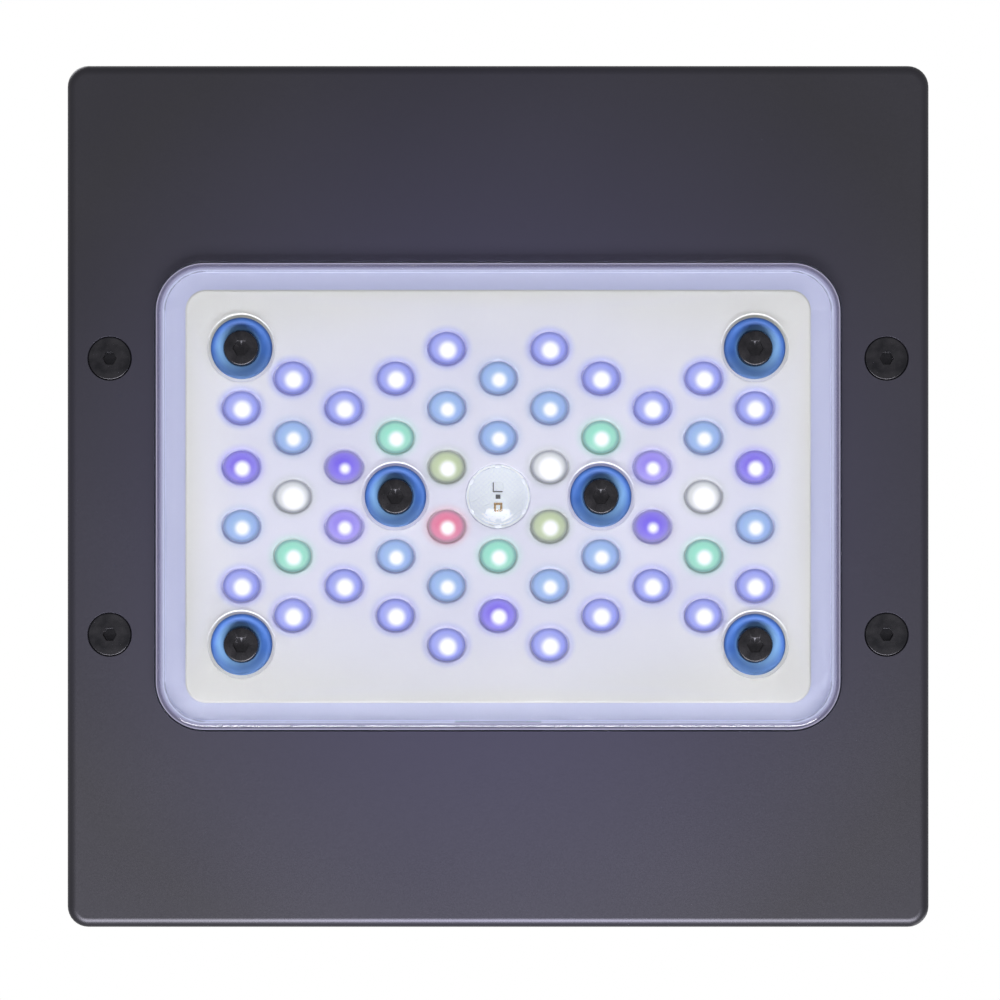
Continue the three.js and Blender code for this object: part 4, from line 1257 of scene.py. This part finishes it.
def buildUsb():
    low, high = box("usb_socket")
    x, z = middle("usb_socket")[0], (low.z + high.z) / 2
    outline = roundedRing(high.x - low.x, high.z - low.z, usb["corner"], 8, x, z)
    shell = lyingPrism("usb_socket_shell", outline, low.y, high.y, "y")
    mouth = roundedRing(*usb["mouth"], 8, x, z)
    combine(shell, [lyingPrism("mouth", mouth, high.y - usb["depth"], high.y + 1, "y")])
    finishPiece(shell, platedMetal, ["usb_socket"], edge=0.1)
    blade = roundedRing(*usb["tongue"], 4, x, z)
    tongue = lyingPrism("usb_socket_tongue", blade, high.y - usb["depth"] - 0.2,
                        high.y - usb["tongueTip"], "y")
    finishPiece(tongue, partPlastic, edge=0.05)


def buildTopFittings():
    for node in numbered("mount_insert_"):
        low, high = box(node)
        insert = turned(node + "_knurled", [
            (2, low.z), (3.1, low.z), (3.1, high.z - 0.9), (2.9, high.z - 0.8), (2.9, high.z - 0.1),
            (2.8, high.z), (2.3, high.z), (2, high.z - 0.3)], 48, (*middle(node), 0))
        finishPiece(insert, insertBrass, [node], edge=0)
    for node in numbered("fan_screw_"):
        low, high = box(node)
        screw = turned(node + "_black", [
            (0, low.z), (1.5, low.z), (1.5, high.z - 2.3), (3.75, high.z - 0.2), (3.75, high.z - 0.05),
            (3.6, high.z), (0, high.z)], 48, (*middle(node), 0))
        combine(screw, [hexHole(2, high.z - 1.2, high.z + 1, (*middle(node), 0))])
        finishPiece(screw, screwSteel, [node], edge=0.06)
    low, high = box("status_light_pipe")
    pipe = turned("status_light_pipe_milky", [
        (0, low.z), (1.5, low.z), (1.5, 32.6), (2.6, 32.6), (2.6, 34.4), (1.5, 34.4), (1.5, high.z - 0.35),
        (1.35, high.z - 0.15), (1.0, high.z - 0.03), (0, high.z)], 40, (*middle("status_light_pipe"), 0))
    finishPiece(pipe, pipePlastic, ["status_light_pipe"], edge=0)


print("building the top side")
buildTopCover()
buildFanFrame()
buildFanRotor()
buildButtons()
buildInlet()
buildUsb()
buildTopFittings()

for node in numbered("sink_screw_") + numbered("board_screw_"):
    dressNode(node, screwSteel, 0.1)
for node in numbered("key_switch_"):
    dressNode(node, partPlastic, 0.1)
for node, material in [
    ("lens_gasket", gasketSilicone), ("lens_seal", keyRubber), ("led_board", boardWhite),
    ("thermal_pad", gasketSilicone), ("heat_sink", finMetal), ("fan_bearing", insertBrass),
    ("fan_coil", coilCopper), ("fan_shaft", platedMetal), ("fan_lead", sleevePlastic),
    ("control_board", boardGreen), ("ribbon_lead", sleevePlastic),
]:
    dressNode(node, material)


studio = {"floorDrop": 1.65, "floorSize": 36.0, "lensLength": 200.0, "frameWidth": 206.8,
          "aim": (0.39, 0.74)}


def buildStudio():
    half = studio["floorSize"] / 2
    mesh = bpy.data.meshes.new("studio_floor")
    mesh.from_pydata([(-half, -half, 0), (half, -half, 0), (half, half, 0), (-half, half, 0)], [],
                     [(0, 1, 2, 3)])
    floor = bpy.data.objects.new("studio_floor", mesh)
    floor.location = (0, 0, -studio["floorDrop"])
    mesh.materials.append(paintedFloor())
    scene.collection.objects.link(floor)

    world = bpy.data.worlds.new("studio")
    world.use_nodes = True
    tree = world.node_tree
    tree.nodes.clear()
    soft = addNode(tree, "ShaderNodeBackground", {"Color": (1, 1, 1, 1), "Strength": 0.65})
    backdrop = addNode(tree, "ShaderNodeBackground", {"Color": (1, 1, 1, 1), "Strength": 1.0})
    seen = addNode(tree, "ShaderNodeLightPath")
    both = addNode(tree, "ShaderNodeMixShader", {
        0: seen.outputs["Is Camera Ray"], 1: soft.outputs["Background"], 2: backdrop.outputs["Background"]})
    addNode(tree, "ShaderNodeOutputWorld", {"Surface": both.outputs["Shader"]})
    scene.world = world
    scene.view_settings.view_transform = "Standard"

    lights = [  # name, place, width, depth, watts
        ("under_rear", (0.0, 0.40, -0.40), 0.6, 0.25, 8.7),
        ("key", (-0.7, -0.9, 0.9), 0.8, 0.8, 7.0),
        ("rear_fill", (0.8, 0.9, 0.6), 0.8, 0.8, 4.0),
    ]
    for name, spot, width, depth, watts in lights:
        light = bpy.data.lights.new(name, "AREA")
        light.shape = "RECTANGLE"
        light.size, light.size_y = width, depth
        light.energy = watts
        softBox = bpy.data.objects.new(name, light)
        softBox.location = spot
        softBox.rotation_euler = (Vector((0, 0, 0.02)) - Vector(spot)).to_track_quat("-Z", "Y").to_euler()
        softBox.visible_camera = False
        scene.collection.objects.link(softBox)

    camera = bpy.data.cameras.new("camera")
    camera.lens = studio["lensLength"]
    camera.sensor_width = 36
    camera.clip_start, camera.clip_end = 0.01, 60
    eye = bpy.data.objects.new("camera", camera)
    distance = studio["frameWidth"] * studio["lensLength"] / camera.sensor_width
    aimX, aimY = studio["aim"]
    widest = box("bezel_housing")[0].z + bezel["fillet"]  # the outline that the frame is sized to
    eye.location = (aimX * mm, aimY * mm, (widest - distance) * mm)
    eye.rotation_euler = (math.pi, 0, 0)
    scene.collection.objects.link(eye)
    scene.camera = eye


buildStudio()
print("pieces ready")
